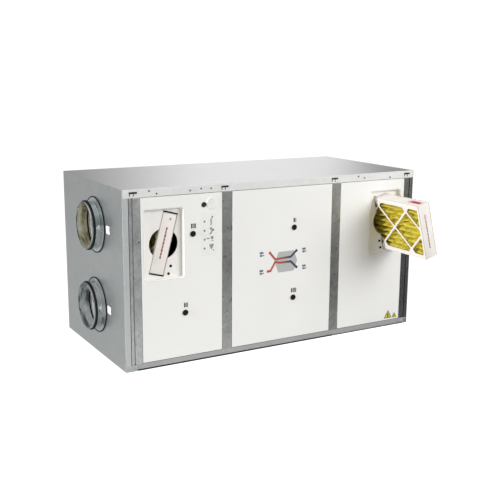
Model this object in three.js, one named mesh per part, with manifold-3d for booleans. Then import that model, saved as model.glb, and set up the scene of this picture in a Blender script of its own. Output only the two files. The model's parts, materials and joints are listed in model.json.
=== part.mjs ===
// Horizontal heat recovery unit with its outer cover off: a folded sheet-steel cabinet with
// two round duct spigots on each end, three lift-off insulated doors between four steel rails,
// two slanted slide-in filters, a counterflow heat exchanger, two fans and a bypass damper.
// Millimetres. +Z is up, the doors face -Y, the origin is the middle of the base.
import * as THREE from "three";
import { mergeVertices } from "three/addons/utils/BufferGeometryUtils.js";
import Module from "manifold-3d";

const wasm = await Module();
wasm.setup();

// ---------- driving dimensions ----------
const WIDTH = 1180;
const DEPTH = 570;
const HEIGHT = 600;
const SHEET = 1.5; // folded steel sheet
const GAP = 0.3; // between pieces that touch
const TOP_STRIP = 27; // front and back edge of the top panel
const BOTTOM_STRIP = 22;
const PLINTH_HEIGHT = 5; // step under the front edge of the bottom pan
const PLINTH_SETBACK = 10;
const LEFT_FLANGE = 20; // front return of the left side panel
const RIGHT_FLANGE = 6;
const INSULATION = 25;

const RAIL_DEPTH = 40;
const RAIL_TO_FLANGE = 2; // the left outer rail stands clear of the panel's return
const DOOR_DEPTH = 28;
const DOOR_GAP = 1.5; // door to rail, each side
const LEFT_DOOR_X = [-530, -233];
const CENTRE_DOOR_X = [-197, 216];
const RIGHT_DOOR_X = [252, 549];

const LEFT_TRAY_X = [-520, -374]; // filter recess pressed into each outer door
const RIGHT_TRAY_X = [390, 536];
const TRAY_Z = [295, 533];
const TRAY_DEPTH = 17;
const TRAY_RADIUS = 12;
const TRAY_WALL = 2;
const FINGER_HOLE_RADIUS = 51;

const FILTER_THICKNESS = 52;
const FILTER_HEIGHT = 204;
const FILTER_LENGTH = 480;
const FILTER_TILT = THREE.MathUtils.degToRad(15);
const LEFT_FILTER_X = -443;
const RIGHT_FILTER_X = 472;
const FILTER_Z = 413;
const FILTER_SINK = 0.5; // front end of a seated filter behind the recess floor
const SLOT_SIDE_GAP = 2.5;
const SLOT_END_GAP = 8;
const RIGHT_FILTER_OUT = 242.5; // how far the right filter stands pulled out
const FRAME_BORDER = 16; // card left above and below the windows
const FRAME_END_BORDER = 8;
const LATTICE_HALF_PERIOD = 77;
const LATTICE_HALF_HEIGHT = 72; // where the diagonal strips meet
const LATTICE_GUSSET = 17; // half the card between two windows at the border
const LATTICE_WIDTH = 7;
const FIRST_DIAMOND_Y = 72; // from the front end of the filter
const CARD = 2; // cardboard of the filter frames
const PLEATS = 12;

const SPIGOT_RADIUS = 80; // duct size 160
const SPIGOT_LENGTH = 40;
const SPIGOT_FLANGE_RADIUS = 93;
const SPIGOT_SEGMENTS = 32;
const SEAL_START = 27; // lip seal, from the panel outwards
const SEAL_END = 38;
const UPPER_SPIGOT_YZ = [-35, 452];
const LOWER_SPIGOT_YZ = [-30, 170];

const CORE_CENTRE = [9.5, 305];
const CORE_HALF_WIDTH = 190;
const CORE_HALF_FLAT = 80;
const CORE_HALF_HEIGHT = 220;
const CORE_Y = [-240, 170];

const FAN_YZ = [0, 152];
const FAN_RADIUS = 95;
const FAN_EYE_RADIUS = 68;
const FAN_WIDTH = 66;
const FAN_BLADES = 7;
const FAN_PLATE_X = 300;

const BYPASS_X = [-175, 195];
const BYPASS_Y = [178, 252];
const BYPASS_Z = [400, 430];
const SHAFT_RADIUS = 4;

const PLUG_RADIUS = 10;
const PLUG_STEM_RADIUS = 4.5;
const PLUGS = [
  { name: "left_upper_test_plug", x: -344, z: 440 },
  { name: "left_lower_test_plug", x: -374, z: 175 },
  { name: "centre_upper_test_plug", x: 54, z: 427 },
  { name: "centre_lower_test_plug", x: 54, z: 172 },
];
const BUTTON = { x: -303, z: 534, radius: 8.4 };
const LIGHTS = { x: -301, z: [477, 446, 416, 386], radius: 2.3 };
const RAIL_SLOTS_X = [-553, -224, 225, 559];
const GLAND = { y: 200, z: 560, radius: 10 };
const DRAIN = { x: 120, y: 0, radius: 10 };

// ---------- values that follow ----------
const HALF_WIDTH = WIDTH / 2;
const FRONT = -DEPTH / 2;
const BACK = DEPTH / 2;
const STRIP_UNDERSIDE = HEIGHT - TOP_STRIP;
const LINING_X = HALF_WIDTH - SHEET - GAP - INSULATION; // inner face of the end linings
const LINING_BACK = BACK - 2 * SHEET - 2 * GAP - INSULATION;
const LINING_FLOOR = SHEET + GAP + INSULATION;
const LINING_CEILING = HEIGHT - SHEET - GAP - INSULATION;
const INSIDE_FRONT = FRONT + RAIL_DEPTH + GAP; // the lined space starts behind the rails
const SEATED_FILTER_Y = FRONT + TRAY_DEPTH + FILTER_SINK;
const DIVIDER_Z = [277, 287];

const STEEL = { color: 0xa7adab, roughness: 0.42, metalness: 0.85 };
const PAINT = { color: 0xebe9e4, roughness: 0.5, metalness: 0 };
const FOAM = { color: 0x3a3c3d, roughness: 0.95, metalness: 0 };
const RUBBER = { color: 0x17181a, roughness: 0.7, metalness: 0 };
const CARDBOARD = { color: 0xf0ede4, roughness: 0.85, metalness: 0 };
const MEDIA = { color: 0xc4b04a, roughness: 0.95, metalness: 0 };
const ALUMINIUM = { color: 0xc9cccf, roughness: 0.35, metalness: 0.9 };
const BLACK_PLASTIC = { color: 0x202224, roughness: 0.5, metalness: 0 };
const GREY_PLASTIC = { color: 0xc8c9c8, roughness: 0.5, metalness: 0 };
const LENS = { color: 0x4b5a63, roughness: 0.2, metalness: 0 };

// ---------- helpers ----------
const unit = new THREE.Group();

function add(name, geometry, material) {
  const mesh = new THREE.Mesh(geometry, new THREE.MeshStandardMaterial(material));
  mesh.name = name;
  unit.add(mesh);
  return mesh;
}

function solidOf(geometry) {
  const bare = geometry.clone();
  bare.deleteAttribute("normal");
  bare.deleteAttribute("uv");
  const merged = mergeVertices(bare, 1e-4);
  const vertProperties = new Float32Array(merged.attributes.position.array);
  const triVerts = new Uint32Array(merged.index.array);
  return new wasm.Manifold(new wasm.Mesh({ numProp: 3, vertProperties, triVerts }));
}

function geometryOf(solid) {
  const mesh = solid.getMesh();
  const geometry = new THREE.BufferGeometry();
  geometry.setAttribute("position", new THREE.BufferAttribute(mesh.vertProperties, 3));
  geometry.setIndex(new THREE.BufferAttribute(mesh.triVerts, 1));
  return geometry;
}

function join(...geometries) {
  return geometryOf(geometries.map(solidOf).reduce((whole, piece) => whole.add(piece)));
}

function cut(geometry, ...tools) {
  return geometryOf(tools.map(solidOf).reduce((rest, tool) => rest.subtract(tool), solidOf(geometry)));
}

function box([x0, x1], [y0, y1], [z0, z1]) {
  const geometry = new THREE.BoxGeometry(x1 - x0, y1 - y0, z1 - z0);
  return geometry.translate((x0 + x1) / 2, (y0 + y1) / 2, (z0 + z1) / 2);
}

function shapeOf(points) {
  return new THREE.Shape(points.map(([a, b]) => new THREE.Vector2(a, b)));
}

// An outline (x, y) drawn out along Z.
function alongZ(shape, [z0, z1]) {
  const settings = { depth: z1 - z0, bevelEnabled: false, curveSegments: 5 };
  return new THREE.ExtrudeGeometry(shape, settings).translate(0, 0, z0);
}

// An outline (y, z) drawn out along X.
function alongX(shape, [x0, x1]) {
  const turn = new THREE.Matrix4().makeBasis(
    new THREE.Vector3(0, 1, 0),
    new THREE.Vector3(0, 0, 1),
    new THREE.Vector3(1, 0, 0),
  );
  return alongZ(shape, [0, x1 - x0]).applyMatrix4(turn).translate(x0, 0, 0);
}

// An outline (x, z) drawn out along Y.
function alongY(shape, [y0, y1]) {
  return alongZ(shape, [0, y1 - y0]).rotateX(Math.PI / 2).translate(0, y1, 0);
}

// The section of a folded sheet: the path is one face, the sheet lies to its left.
function foldedSheet(path, thickness) {
  const inner = path.map((point, i) => {
    const before = path[Math.max(i - 1, 0)];
    const after = path[Math.min(i + 1, path.length - 1)];
    const first = i === 0 ? leftOf(point, after) : leftOf(before, point);
    const second = i === path.length - 1 ? first : leftOf(point, after);
    const scale = thickness / (1 + first[0] * second[0] + first[1] * second[1]);
    return [point[0] + (first[0] + second[0]) * scale, point[1] + (first[1] + second[1]) * scale];
  });
  return shapeOf([...path, ...inner.reverse()]);
}

function leftOf([x0, y0], [x1, y1]) {
  const length = Math.hypot(x1 - x0, y1 - y0);
  return [(y0 - y1) / length, (x1 - x0) / length];
}

function roundedRectangle([x0, x1], [z0, z1], radius) {
  const shape = new THREE.Shape();
  shape.absarc(x1 - radius, z0 + radius, radius, -Math.PI / 2, 0);
  shape.absarc(x1 - radius, z1 - radius, radius, 0, Math.PI / 2);
  shape.absarc(x0 + radius, z1 - radius, radius, Math.PI / 2, Math.PI);
  shape.absarc(x0 + radius, z0 + radius, radius, Math.PI, 1.5 * Math.PI);
  return shape;
}

// A turned piece about an axis along X: points are [radius, distance out], outwards is +X or -X.
function turnedAlongX(points, outward, segments) {
  const outline = points.map(([radius, out]) => new THREE.Vector2(radius, out));
  const geometry = new THREE.LatheGeometry(outline, segments);
  return geometry.rotateZ(outward > 0 ? -Math.PI / 2 : Math.PI / 2);
}

function rodAlongY(radius, [y0, y1], [x, z], segments = 20) {
  const rod = new THREE.CylinderGeometry(radius, radius, y1 - y0, segments);
  return rod.translate(x, (y0 + y1) / 2, z);
}

function rodAlongX(radius, [x0, x1], [y, z], segments = 20) {
  const rod = new THREE.CylinderGeometry(radius, radius, x1 - x0, segments);
  return rod.rotateZ(Math.PI / 2).translate((x0 + x1) / 2, y, z);
}

function rodAlongZ(radius, [z0, z1], [x, y], segments = 20) {
  const rod = new THREE.CylinderGeometry(radius, radius, z1 - z0, segments);
  return rod.rotateX(Math.PI / 2).translate(x, y, (z0 + z1) / 2);
}

function mirrored(range, side) {
  return side < 0 ? range : [-range[1], -range[0]];
}

// ---------- cabinet ----------
function railSlots() {
  const halfWidth = 14;
  const through = [FRONT - 1, FRONT + 3];
  return RAIL_SLOTS_X.map((x) => box([x - halfWidth, x + halfWidth], through, [586, 592]));
}

function topPanel() {
  const section = foldedSheet(
    [[BACK, STRIP_UNDERSIDE], [BACK, HEIGHT], [FRONT, HEIGHT], [FRONT, STRIP_UNDERSIDE]],
    SHEET,
  );
  const reach = HALF_WIDTH - SHEET - GAP;
  return cut(alongX(section, [-reach, reach]), ...railSlots());
}

function bottomPan() {
  const backFace = BACK - SHEET - GAP;
  const section = foldedSheet(
    [
      [FRONT, BOTTOM_STRIP],
      [FRONT, PLINTH_HEIGHT],
      [FRONT + PLINTH_SETBACK, PLINTH_HEIGHT],
      [FRONT + PLINTH_SETBACK, 0],
      [backFace, 0],
      [backFace, BOTTOM_STRIP],
    ],
    SHEET,
  );
  const reach = HALF_WIDTH - SHEET - GAP;
  const lip = [FRONT - 1, FRONT + PLINTH_SETBACK - GAP];
  const lipHeight = [-1, BOTTOM_STRIP + 1];
  const leftEnd = box([-reach - 1, -HALF_WIDTH + LEFT_FLANGE + GAP], lip, lipHeight);
  const rightEnd = box([HALF_WIDTH - RIGHT_FLANGE - GAP, reach + 1], lip, lipHeight);
  const drainHole = rodAlongZ(DRAIN.radius + 0.5, [-1, 3], [DRAIN.x, DRAIN.y]);
  return cut(alongX(section, [-reach, reach]), leftEnd, rightEnd, drainHole);
}

function spigotHoles(side, radius, range) {
  return [UPPER_SPIGOT_YZ, LOWER_SPIGOT_YZ].map((centre) => {
    return rodAlongX(radius, mirrored(range, side), centre, SPIGOT_SEGMENTS);
  });
}

function glandHole(radius) {
  return rodAlongX(radius, [LINING_X - 1, HALF_WIDTH + 1], [GLAND.y, GLAND.z]);
}

function sidePanel(side) {
  const flange = side < 0 ? LEFT_FLANGE : RIGHT_FLANGE;
  const path = [
    [side * (HALF_WIDTH - LEFT_FLANGE), BACK],
    [side * HALF_WIDTH, BACK],
    [side * HALF_WIDTH, FRONT],
    [side * (HALF_WIDTH - flange), FRONT],
  ];
  const section = foldedSheet(side < 0 ? path : path.reverse(), SHEET);
  const inward = mirrored([-HALF_WIDTH + SHEET, -HALF_WIDTH + 60], side);
  const above = [STRIP_UNDERSIDE - GAP, HEIGHT + 1];
  const tools = [
    box(inward, [FRONT - 1, FRONT + 5], above),
    box(inward, [BACK - 5, BACK + 1], above),
    ...spigotHoles(side, SPIGOT_RADIUS + 0.6, [-HALF_WIDTH - 1, -HALF_WIDTH + 5]),
  ];
  if (side > 0) {
    tools.push(glandHole(GLAND.radius + GAP));
  }
  return cut(alongZ(section, [0, HEIGHT]), ...tools);
}

function backPanel() {
  const reach = HALF_WIDTH - SHEET - GAP;
  const outer = BACK - SHEET - GAP;
  return box([-reach, reach], [outer - SHEET, outer], [BOTTOM_STRIP + GAP, HEIGHT - SHEET - GAP]);
}

function addCabinet() {
  add("top_panel", topPanel(), STEEL);
  add("bottom_pan", bottomPan(), STEEL);
  add("left_side_panel", sidePanel(-1), STEEL);
  add("right_side_panel", sidePanel(1), STEEL);
  add("back_panel", backPanel(), STEEL);
}

function endLining(side) {
  const x = mirrored([-LINING_X - INSULATION, -LINING_X], side);
  const slab = box(x, [INSIDE_FRONT, LINING_BACK - GAP], [LINING_FLOOR + GAP, LINING_CEILING - GAP]);
  const tools = spigotHoles(side, SPIGOT_RADIUS + 1, [-HALF_WIDTH - 1, -LINING_X + 1]);
  if (side > 0) {
    tools.push(glandHole(GLAND.radius + 0.6));
  }
  return cut(slab, ...tools);
}

function addLining() {
  const length = [-LINING_X - INSULATION, LINING_X + INSULATION];
  const underTop = HEIGHT - SHEET - GAP;
  const floor = box(length, [INSIDE_FRONT, LINING_BACK - GAP], [SHEET + GAP, LINING_FLOOR]);
  const drainHole = rodAlongZ(DRAIN.radius + 1, [0, LINING_FLOOR + 1], [DRAIN.x, DRAIN.y]);
  const lid = box(length, [INSIDE_FRONT, LINING_BACK - GAP], [LINING_CEILING, underTop]);
  const back = box(length, [LINING_BACK, LINING_BACK + INSULATION], [SHEET + GAP, underTop]);
  add("bottom_insulation", cut(floor, drainHole), FOAM);
  add("top_insulation", lid, FOAM);
  add("back_insulation", back, FOAM);
  add("left_insulation", endLining(-1), FOAM);
  add("right_insulation", endLining(1), FOAM);
}

// ---------- rails ----------
const RAIL_Z = [BOTTOM_STRIP + GAP, STRIP_UNDERSIDE - GAP];

function innerRail([x0, x1]) {
  const foot = FRONT + RAIL_DEPTH;
  return alongZ(foldedSheet([[x0, foot], [x0, FRONT], [x1, FRONT], [x1, foot]], SHEET), RAIL_Z);
}

// An outer rail has a narrow outer band, a groove and a wide inner band.
function outerRail(outerX, innerX) {
  const inward = Math.sign(innerX - outerX);
  const groove = { start: outerX + inward * 9, end: outerX + inward * 13, y: FRONT + 7 };
  const path = [
    [outerX, FRONT + RAIL_DEPTH],
    [outerX, FRONT],
    [groove.start, FRONT],
    [groove.start, groove.y],
    [groove.end, groove.y],
    [groove.end, FRONT],
    [innerX, FRONT],
    [innerX, FRONT + RAIL_DEPTH],
  ];
  return alongZ(foldedSheet(inward > 0 ? path : path.reverse(), SHEET), RAIL_Z);
}

function addRails() {
  const leftStart = -HALF_WIDTH + LEFT_FLANGE + RAIL_TO_FLANGE;
  add("left_outer_rail", outerRail(leftStart, LEFT_DOOR_X[0]), STEEL);
  add("left_inner_rail", innerRail([LEFT_DOOR_X[1], CENTRE_DOOR_X[0]]), STEEL);
  add("right_inner_rail", innerRail([CENTRE_DOOR_X[1], RIGHT_DOOR_X[0]]), STEEL);
  add("right_outer_rail", outerRail(HALF_WIDTH - RIGHT_FLANGE - GAP, RIGHT_DOOR_X[1]), STEEL);
}

// ---------- filters ----------
// Filter pieces are drawn upright about their own middle, from the front end at y = 0 backwards.
function placeInFilterSlot(geometry, side, y) {
  const x = side < 0 ? LEFT_FILTER_X : RIGHT_FILTER_X;
  return geometry.rotateY(-side * FILTER_TILT).translate(x, y, FILTER_Z);
}

function filterBody(sideGap, endGap, [y0, y1]) {
  const half = FILTER_THICKNESS / 2 + sideGap;
  const tall = FILTER_HEIGHT / 2 + endGap;
  return box([-half, half], [y0, y1], [-tall, tall]);
}

function filterOpening(side, yRange) {
  const slot = placeInFilterSlot(filterBody(SLOT_SIDE_GAP, SLOT_END_GAP, yRange), side, 0);
  const fingerHole = placeInFilterSlot(rodAlongY(FINGER_HOLE_RADIUS, yRange, [0, 0], 36), side, 0);
  return join(slot, fingerHole);
}

// The die-cut card leaves a lattice of diagonal strips. Diamond windows along the middle alternate
// with pairs of five-sided windows that follow the border.
function latticeWindows() {
  const nodeToSide =
    (LATTICE_HALF_PERIOD * LATTICE_HALF_HEIGHT) / Math.hypot(LATTICE_HALF_PERIOD, LATTICE_HALF_HEIGHT);
  const size = 1 - LATTICE_WIDTH / 2 / nodeToSide;
  const halfLength = size * LATTICE_HALF_PERIOD;
  const halfHeight = size * LATTICE_HALF_HEIGHT;
  const border = FILTER_HEIGHT / 2 - FRAME_BORDER;
  const topHalf = LATTICE_HALF_PERIOD - LATTICE_GUSSET;
  const reach = [-FILTER_THICKNESS, FILTER_THICKNESS];
  const windows = [];
  for (let i = -1; i < 6; i += 1) {
    const y = FIRST_DIAMOND_Y + i * LATTICE_HALF_PERIOD;
    if (i % 2 === 0) {
      windows.push([[y - halfLength, 0], [y, -halfHeight], [y + halfLength, 0], [y, halfHeight]]);
    } else {
      const apex = LATTICE_HALF_HEIGHT - halfHeight;
      const upper = [
        [y, apex],
        [y + halfLength, LATTICE_HALF_HEIGHT],
        [y + topHalf, border],
        [y - topHalf, border],
        [y - halfLength, LATTICE_HALF_HEIGHT],
      ];
      windows.push(upper, upper.map(([across, up]) => [across, -up]).reverse());
    }
  }
  const ends = [FRAME_END_BORDER, FILTER_LENGTH - FRAME_END_BORDER];
  const bordered = solidOf(box(reach, ends, [-border, border]));
  return windows.map((outline) => {
    return geometryOf(solidOf(alongX(shapeOf(outline), reach)).intersect(bordered));
  });
}

function filterFrame() {
  const halfThick = FILTER_THICKNESS / 2;
  const tall = FILTER_HEIGHT / 2;
  const inside = box(
    [-halfThick + CARD, halfThick - CARD],
    [CARD, FILTER_LENGTH - CARD],
    [-tall + CARD, tall - CARD],
  );
  return cut(filterBody(0, 0, [0, FILTER_LENGTH]), inside, ...latticeWindows());
}

function filterMedia() {
  const depth = FILTER_THICKNESS / 2 - CARD - 1.5;
  const tall = FILTER_HEIGHT / 2 - CARD - 1;
  const cloth = 3;
  const pitch = (2 * tall) / (2 * PLEATS);
  const front = [];
  const rear = [];
  for (let i = 0; i <= 2 * PLEATS; i += 1) {
    const crest = i % 2 === 0 ? -1 : 1;
    front.push([crest * (depth - cloth) - cloth, -tall + i * pitch]);
    rear.push([crest * (depth - cloth) + cloth, -tall + i * pitch]);
  }
  return alongY(shapeOf([...rear, ...front.reverse()]), [CARD + 1, FILTER_LENGTH - CARD - 1]);
}

// A tilted channel above and below the filter, tied together by a stop plate at the back.
function filterGuide() {
  const start = INSIDE_FRONT;
  const stop = SEATED_FILTER_Y + FILTER_LENGTH + 2;
  const run = 1;
  const wall = 2;
  const lip = 12;
  const half = FILTER_THICKNESS / 2 + run;
  const tall = FILTER_HEIGHT / 2 + run;
  const channel = (end) => {
    const low = [-half - wall, half + wall];
    const plate = end > 0 ? [tall, tall + wall] : [-tall - wall, -tall];
    const sideZ = end > 0 ? [tall - lip, tall + wall] : [-tall - wall, -tall + lip];
    return join(
      box(low, [start, stop + wall], plate),
      box([-half - wall, -half], [start, stop + wall], sideZ),
      box([half, half + wall], [start, stop + wall], sideZ),
    );
  };
  const plate = box([-half - wall, half + wall], [stop, stop + wall], [-tall - wall, tall + wall]);
  return join(channel(-1), channel(1), plate);
}

function addFilters() {
  const places = [["left", -1, SEATED_FILTER_Y], ["right", 1, SEATED_FILTER_Y - RIGHT_FILTER_OUT]];
  for (const [name, side, y] of places) {
    add(`${name}_filter_frame`, placeInFilterSlot(filterFrame(), side, y), CARDBOARD);
    add(`${name}_filter_media`, placeInFilterSlot(filterMedia(), side, y), MEDIA);
    add(`${name}_filter_guide`, placeInFilterSlot(filterGuide(), side, 0), STEEL);
  }
}

// ---------- doors ----------
const DOOR_Z = [BOTTOM_STRIP + DOOR_GAP, STRIP_UNDERSIDE - DOOR_GAP];

function doorOutline([x0, x1]) {
  return [x0 + DOOR_GAP, x1 - DOOR_GAP];
}

function trayOutline(side, margin) {
  const [x0, x1] = side < 0 ? LEFT_TRAY_X : RIGHT_TRAY_X;
  const z = [TRAY_Z[0] - margin, TRAY_Z[1] + margin];
  return roundedRectangle([x0 - margin, x1 + margin], z, TRAY_RADIUS + margin);
}

function doorSkin(xRange, openings) {
  const [x0, x1] = doorOutline(xRange);
  const shell = box([x0, x1], [FRONT, FRONT + DOOR_DEPTH], DOOR_Z);
  const inside = box(
    [x0 + SHEET, x1 - SHEET],
    [FRONT + SHEET, FRONT + DOOR_DEPTH + 1],
    [DOOR_Z[0] + SHEET, DOOR_Z[1] - SHEET],
  );
  return cut(shell, inside, ...openings);
}

function doorFill(xRange, openings) {
  const [x0, x1] = doorOutline(xRange);
  const inset = SHEET + GAP;
  const slab = box(
    [x0 + inset, x1 - inset],
    [FRONT + inset, FRONT + DOOR_DEPTH],
    [DOOR_Z[0] + inset, DOOR_Z[1] - inset],
  );
  return cut(slab, ...openings);
}

function filterTray(side) {
  const backFace = FRONT + TRAY_DEPTH + TRAY_WALL;
  const block = alongY(trayOutline(side, 0), [FRONT, backFace]);
  const hollow = alongY(trayOutline(side, -TRAY_WALL), [FRONT - 1, FRONT + TRAY_DEPTH]);
  return cut(block, hollow, filterOpening(side, [FRONT, backFace + 5]));
}

function plugHoles(names) {
  const wanted = PLUGS.filter((plug) => names.includes(plug.name));
  const range = [FRONT - 1, FRONT + DOOR_DEPTH + 1];
  return wanted.map((plug) => rodAlongY(PLUG_STEM_RADIUS + 0.4, range, [plug.x, plug.z], 16));
}

function buttonHole(depth, clearance) {
  return rodAlongY(BUTTON.radius + clearance, [FRONT - 1, FRONT + depth], [BUTTON.x, BUTTON.z], 20);
}

function lightHoles() {
  return LIGHTS.z.map((z) => rodAlongY(LIGHTS.radius + 0.4, [FRONT - 1, FRONT + 4], [LIGHTS.x, z], 8));
}

function lightGuideBar(margin) {
  const z = [LIGHTS.z.at(-1) - 6 - margin, LIGHTS.z[0] + 6 + margin];
  const x = [LIGHTS.x - 5 - margin, LIGHTS.x + 5 + margin];
  return box(x, [FRONT + 2 - margin, FRONT + 6 + margin], z);
}

function lightGuide() {
  const pins = LIGHTS.z.map((z) => rodAlongY(LIGHTS.radius, [FRONT, FRONT + 4], [LIGHTS.x, z], 8));
  return join(lightGuideBar(0), ...pins);
}

function addDoors() {
  const traySkin = (side) => alongY(trayOutline(side, GAP), [FRONT - 1, FRONT + 3]);
  const trayFill = (side) => alongY(trayOutline(side, GAP), [FRONT, FRONT + DOOR_DEPTH + 1]);
  const leftPlugs = plugHoles(["left_upper_test_plug", "left_lower_test_plug"]);
  const centrePlugs = plugHoles(["centre_upper_test_plug", "centre_lower_test_plug"]);
  const leftSkinCuts = [traySkin(-1), buttonHole(3, GAP), ...lightHoles(), ...leftPlugs];
  const leftFillCuts = [trayFill(-1), buttonHole(18, 1), lightGuideBar(GAP), ...leftPlugs];
  add("left_door", doorSkin(LEFT_DOOR_X, leftSkinCuts), PAINT);
  add("left_door_insulation", doorFill(LEFT_DOOR_X, leftFillCuts), FOAM);
  add("left_filter_tray", filterTray(-1), PAINT);
  add("status_light_guide", lightGuide(), LENS);
  add("centre_door", doorSkin(CENTRE_DOOR_X, centrePlugs), PAINT);
  add("centre_door_insulation", doorFill(CENTRE_DOOR_X, centrePlugs), FOAM);
  add("right_door", doorSkin(RIGHT_DOOR_X, [traySkin(1)]), PAINT);
  add("right_door_insulation", doorFill(RIGHT_DOOR_X, [trayFill(1)]), FOAM);
  add("right_filter_tray", filterTray(1), PAINT);
}

function testPlug({ x, z }) {
  const head = rodAlongY(PLUG_RADIUS, [FRONT - 4.5, FRONT - GAP], [x, z], 20);
  const stem = rodAlongY(PLUG_STEM_RADIUS, [FRONT - 1, FRONT + DOOR_DEPTH - 4], [x, z], 16);
  return join(head, stem);
}

function addDoorFittings() {
  for (const plug of PLUGS) {
    add(plug.name, testPlug(plug), RUBBER);
  }
  const cap = rodAlongY(BUTTON.radius, [FRONT - 2.5, FRONT + 12], [BUTTON.x, BUTTON.z], 20);
  add("service_button", cap, BLACK_PLASTIC);
}

// ---------- duct spigots ----------
function spigotProfile() {
  const bore = SPIGOT_RADIUS - 1;
  return [
    [bore, -INSULATION],
    [SPIGOT_RADIUS, -INSULATION],
    [SPIGOT_RADIUS, 1.2],
    [SPIGOT_FLANGE_RADIUS, 1.2],
    [SPIGOT_FLANGE_RADIUS, 2.6],
    [SPIGOT_RADIUS, 2.6],
    [SPIGOT_RADIUS, SPIGOT_LENGTH],
    [bore, SPIGOT_LENGTH],
    [bore, -INSULATION],
  ];
}

function sealProfile() {
  const seat = SPIGOT_RADIUS + GAP;
  const lip = seat + 4.5;
  const band = seat + 2.5;
  const start = [seat, SEAL_START + 1];
  return [start, [lip, SEAL_START], [band, SEAL_START + 4], [band, SEAL_END - 2], [seat, SEAL_END], start];
}

function addSpigots() {
  for (const [sideName, side] of [["left", -1], ["right", 1]]) {
    for (const [level, [y, z]] of [["upper", UPPER_SPIGOT_YZ], ["lower", LOWER_SPIGOT_YZ]]) {
      const place = (profile) => {
        return turnedAlongX(profile, side, SPIGOT_SEGMENTS).translate(side * HALF_WIDTH, y, z);
      };
      add(`${sideName}_${level}_spigot`, place(spigotProfile()), STEEL);
      add(`${sideName}_${level}_lip_seal`, place(sealProfile()), RUBBER);
    }
  }
}

// ---------- heat exchanger ----------
function exchangerCore() {
  const [x, z] = CORE_CENTRE;
  const outline = shapeOf([
    [x - CORE_HALF_FLAT, z - CORE_HALF_HEIGHT],
    [x + CORE_HALF_FLAT, z - CORE_HALF_HEIGHT],
    [x + CORE_HALF_WIDTH, z],
    [x + CORE_HALF_FLAT, z + CORE_HALF_HEIGHT],
    [x - CORE_HALF_FLAT, z + CORE_HALF_HEIGHT],
    [x - CORE_HALF_WIDTH, z],
  ]);
  return alongY(outline, CORE_Y);
}

function condensateTray() {
  const floor = LINING_FLOOR + GAP;
  const wall = 2;
  const x = [CORE_CENTRE[0] - 200, CORE_CENTRE[0] + 200];
  const y = [-240, 240];
  const block = box(x, y, [floor, floor + 30]);
  const basin = box([x[0] + wall, x[1] - wall], [y[0] + wall, y[1] - wall], [floor + wall, floor + 31]);
  const outlet = rodAlongZ(DRAIN.radius - 2, [floor - 1, floor + 5], [DRAIN.x, DRAIN.y]);
  const coreUnderside = CORE_CENTRE[1] - CORE_HALF_HEIGHT - GAP;
  const ribs = [-220, 150].map((ribY) => {
    const ribX = [CORE_CENTRE[0] - 60, CORE_CENTRE[0] + 60];
    return box(ribX, [ribY, ribY + 6], [floor + 1, coreUnderside]);
  });
  return join(cut(block, basin, outlet), ...ribs);
}

function condensateDrain() {
  const outer = rodAlongZ(DRAIN.radius, [0.5, LINING_FLOOR], [DRAIN.x, DRAIN.y]);
  const bore = rodAlongZ(DRAIN.radius - 2, [0, LINING_FLOOR + 1], [DRAIN.x, DRAIN.y]);
  return cut(outer, bore);
}

function addExchanger() {
  const [x, z] = CORE_CENTRE;
  const sealZ = [z + CORE_HALF_HEIGHT + GAP, LINING_CEILING - GAP];
  add("heat_exchanger_core", exchangerCore(), ALUMINIUM);
  add("exchanger_top_seal", box([x - 70, x + 70], CORE_Y, sealZ), FOAM);
  add("condensate_tray", condensateTray(), GREY_PLASTIC);
  add("condensate_drain", condensateDrain(), GREY_PLASTIC);
}

function addDividers() {
  const coreEdge = CORE_HALF_WIDTH + GAP;
  const y = [INSIDE_FRONT, LINING_BACK - 2 * GAP];
  const leftX = [-LINING_X + GAP, CORE_CENTRE[0] - coreEdge];
  const rightX = [CORE_CENTRE[0] + coreEdge, LINING_X - GAP];
  add("left_divider", box(leftX, y, DIVIDER_Z), STEEL);
  add("right_divider", box(rightX, y, DIVIDER_Z), STEEL);
}

// ---------- fans ----------
// Fan pieces are drawn along +X from the inlet plate at x = 0 towards the cabinet end.
function fanPlate() {
  const z = [LINING_FLOOR + GAP - FAN_YZ[1], DIVIDER_Z[0] - GAP - FAN_YZ[1]];
  const plate = box([0, SHEET], [-245, 245], z);
  const eye = rodAlongX(FAN_EYE_RADIUS - 8, [-1, SHEET + 1], [0, 0], 24);
  const lip = [[60, 0.5], [62, 0.5], [62, 10], [60, 10], [60, 0.5]];
  return join(cut(plate, eye), turnedAlongX(lip, 1, 24));
}

function fanImpeller() {
  const start = 7;
  const rear = start + FAN_WIDTH;
  const backDisc = rodAlongX(FAN_RADIUS, [rear - 2, rear], [0, 0], 28);
  const hub = rodAlongX(38, [rear - 30, rear - 1], [0, 0], 16);
  const rim = [
    [FAN_EYE_RADIUS, start],
    [FAN_RADIUS, start],
    [FAN_RADIUS, start + 2],
    [FAN_EYE_RADIUS, start + 2],
  ];
  const shroud = turnedAlongX([...rim, rim[0]], 1, 28);
  const blades = [];
  for (let i = 0; i < FAN_BLADES; i += 1) {
    const blade = box([start + 1, rear - 1], [-15, 15], [-1, 1]);
    blade.rotateX(THREE.MathUtils.degToRad(35)).translate(0, 80, 0);
    blade.rotateX((i * 2 * Math.PI) / FAN_BLADES);
    blades.push(blade);
  }
  return join(backDisc, hub, shroud, ...blades);
}

function fanMotor() {
  const start = 7 + FAN_WIDTH + 1.5;
  const z = [LINING_FLOOR + GAP - FAN_YZ[1], DIVIDER_Z[0] - GAP - FAN_YZ[1]];
  const can = rodAlongX(46, [start, start + 34], [0, 0], 28);
  const bracket = box([start + 30, start + 34], [-25, 25], z);
  return join(can, bracket);
}

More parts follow.
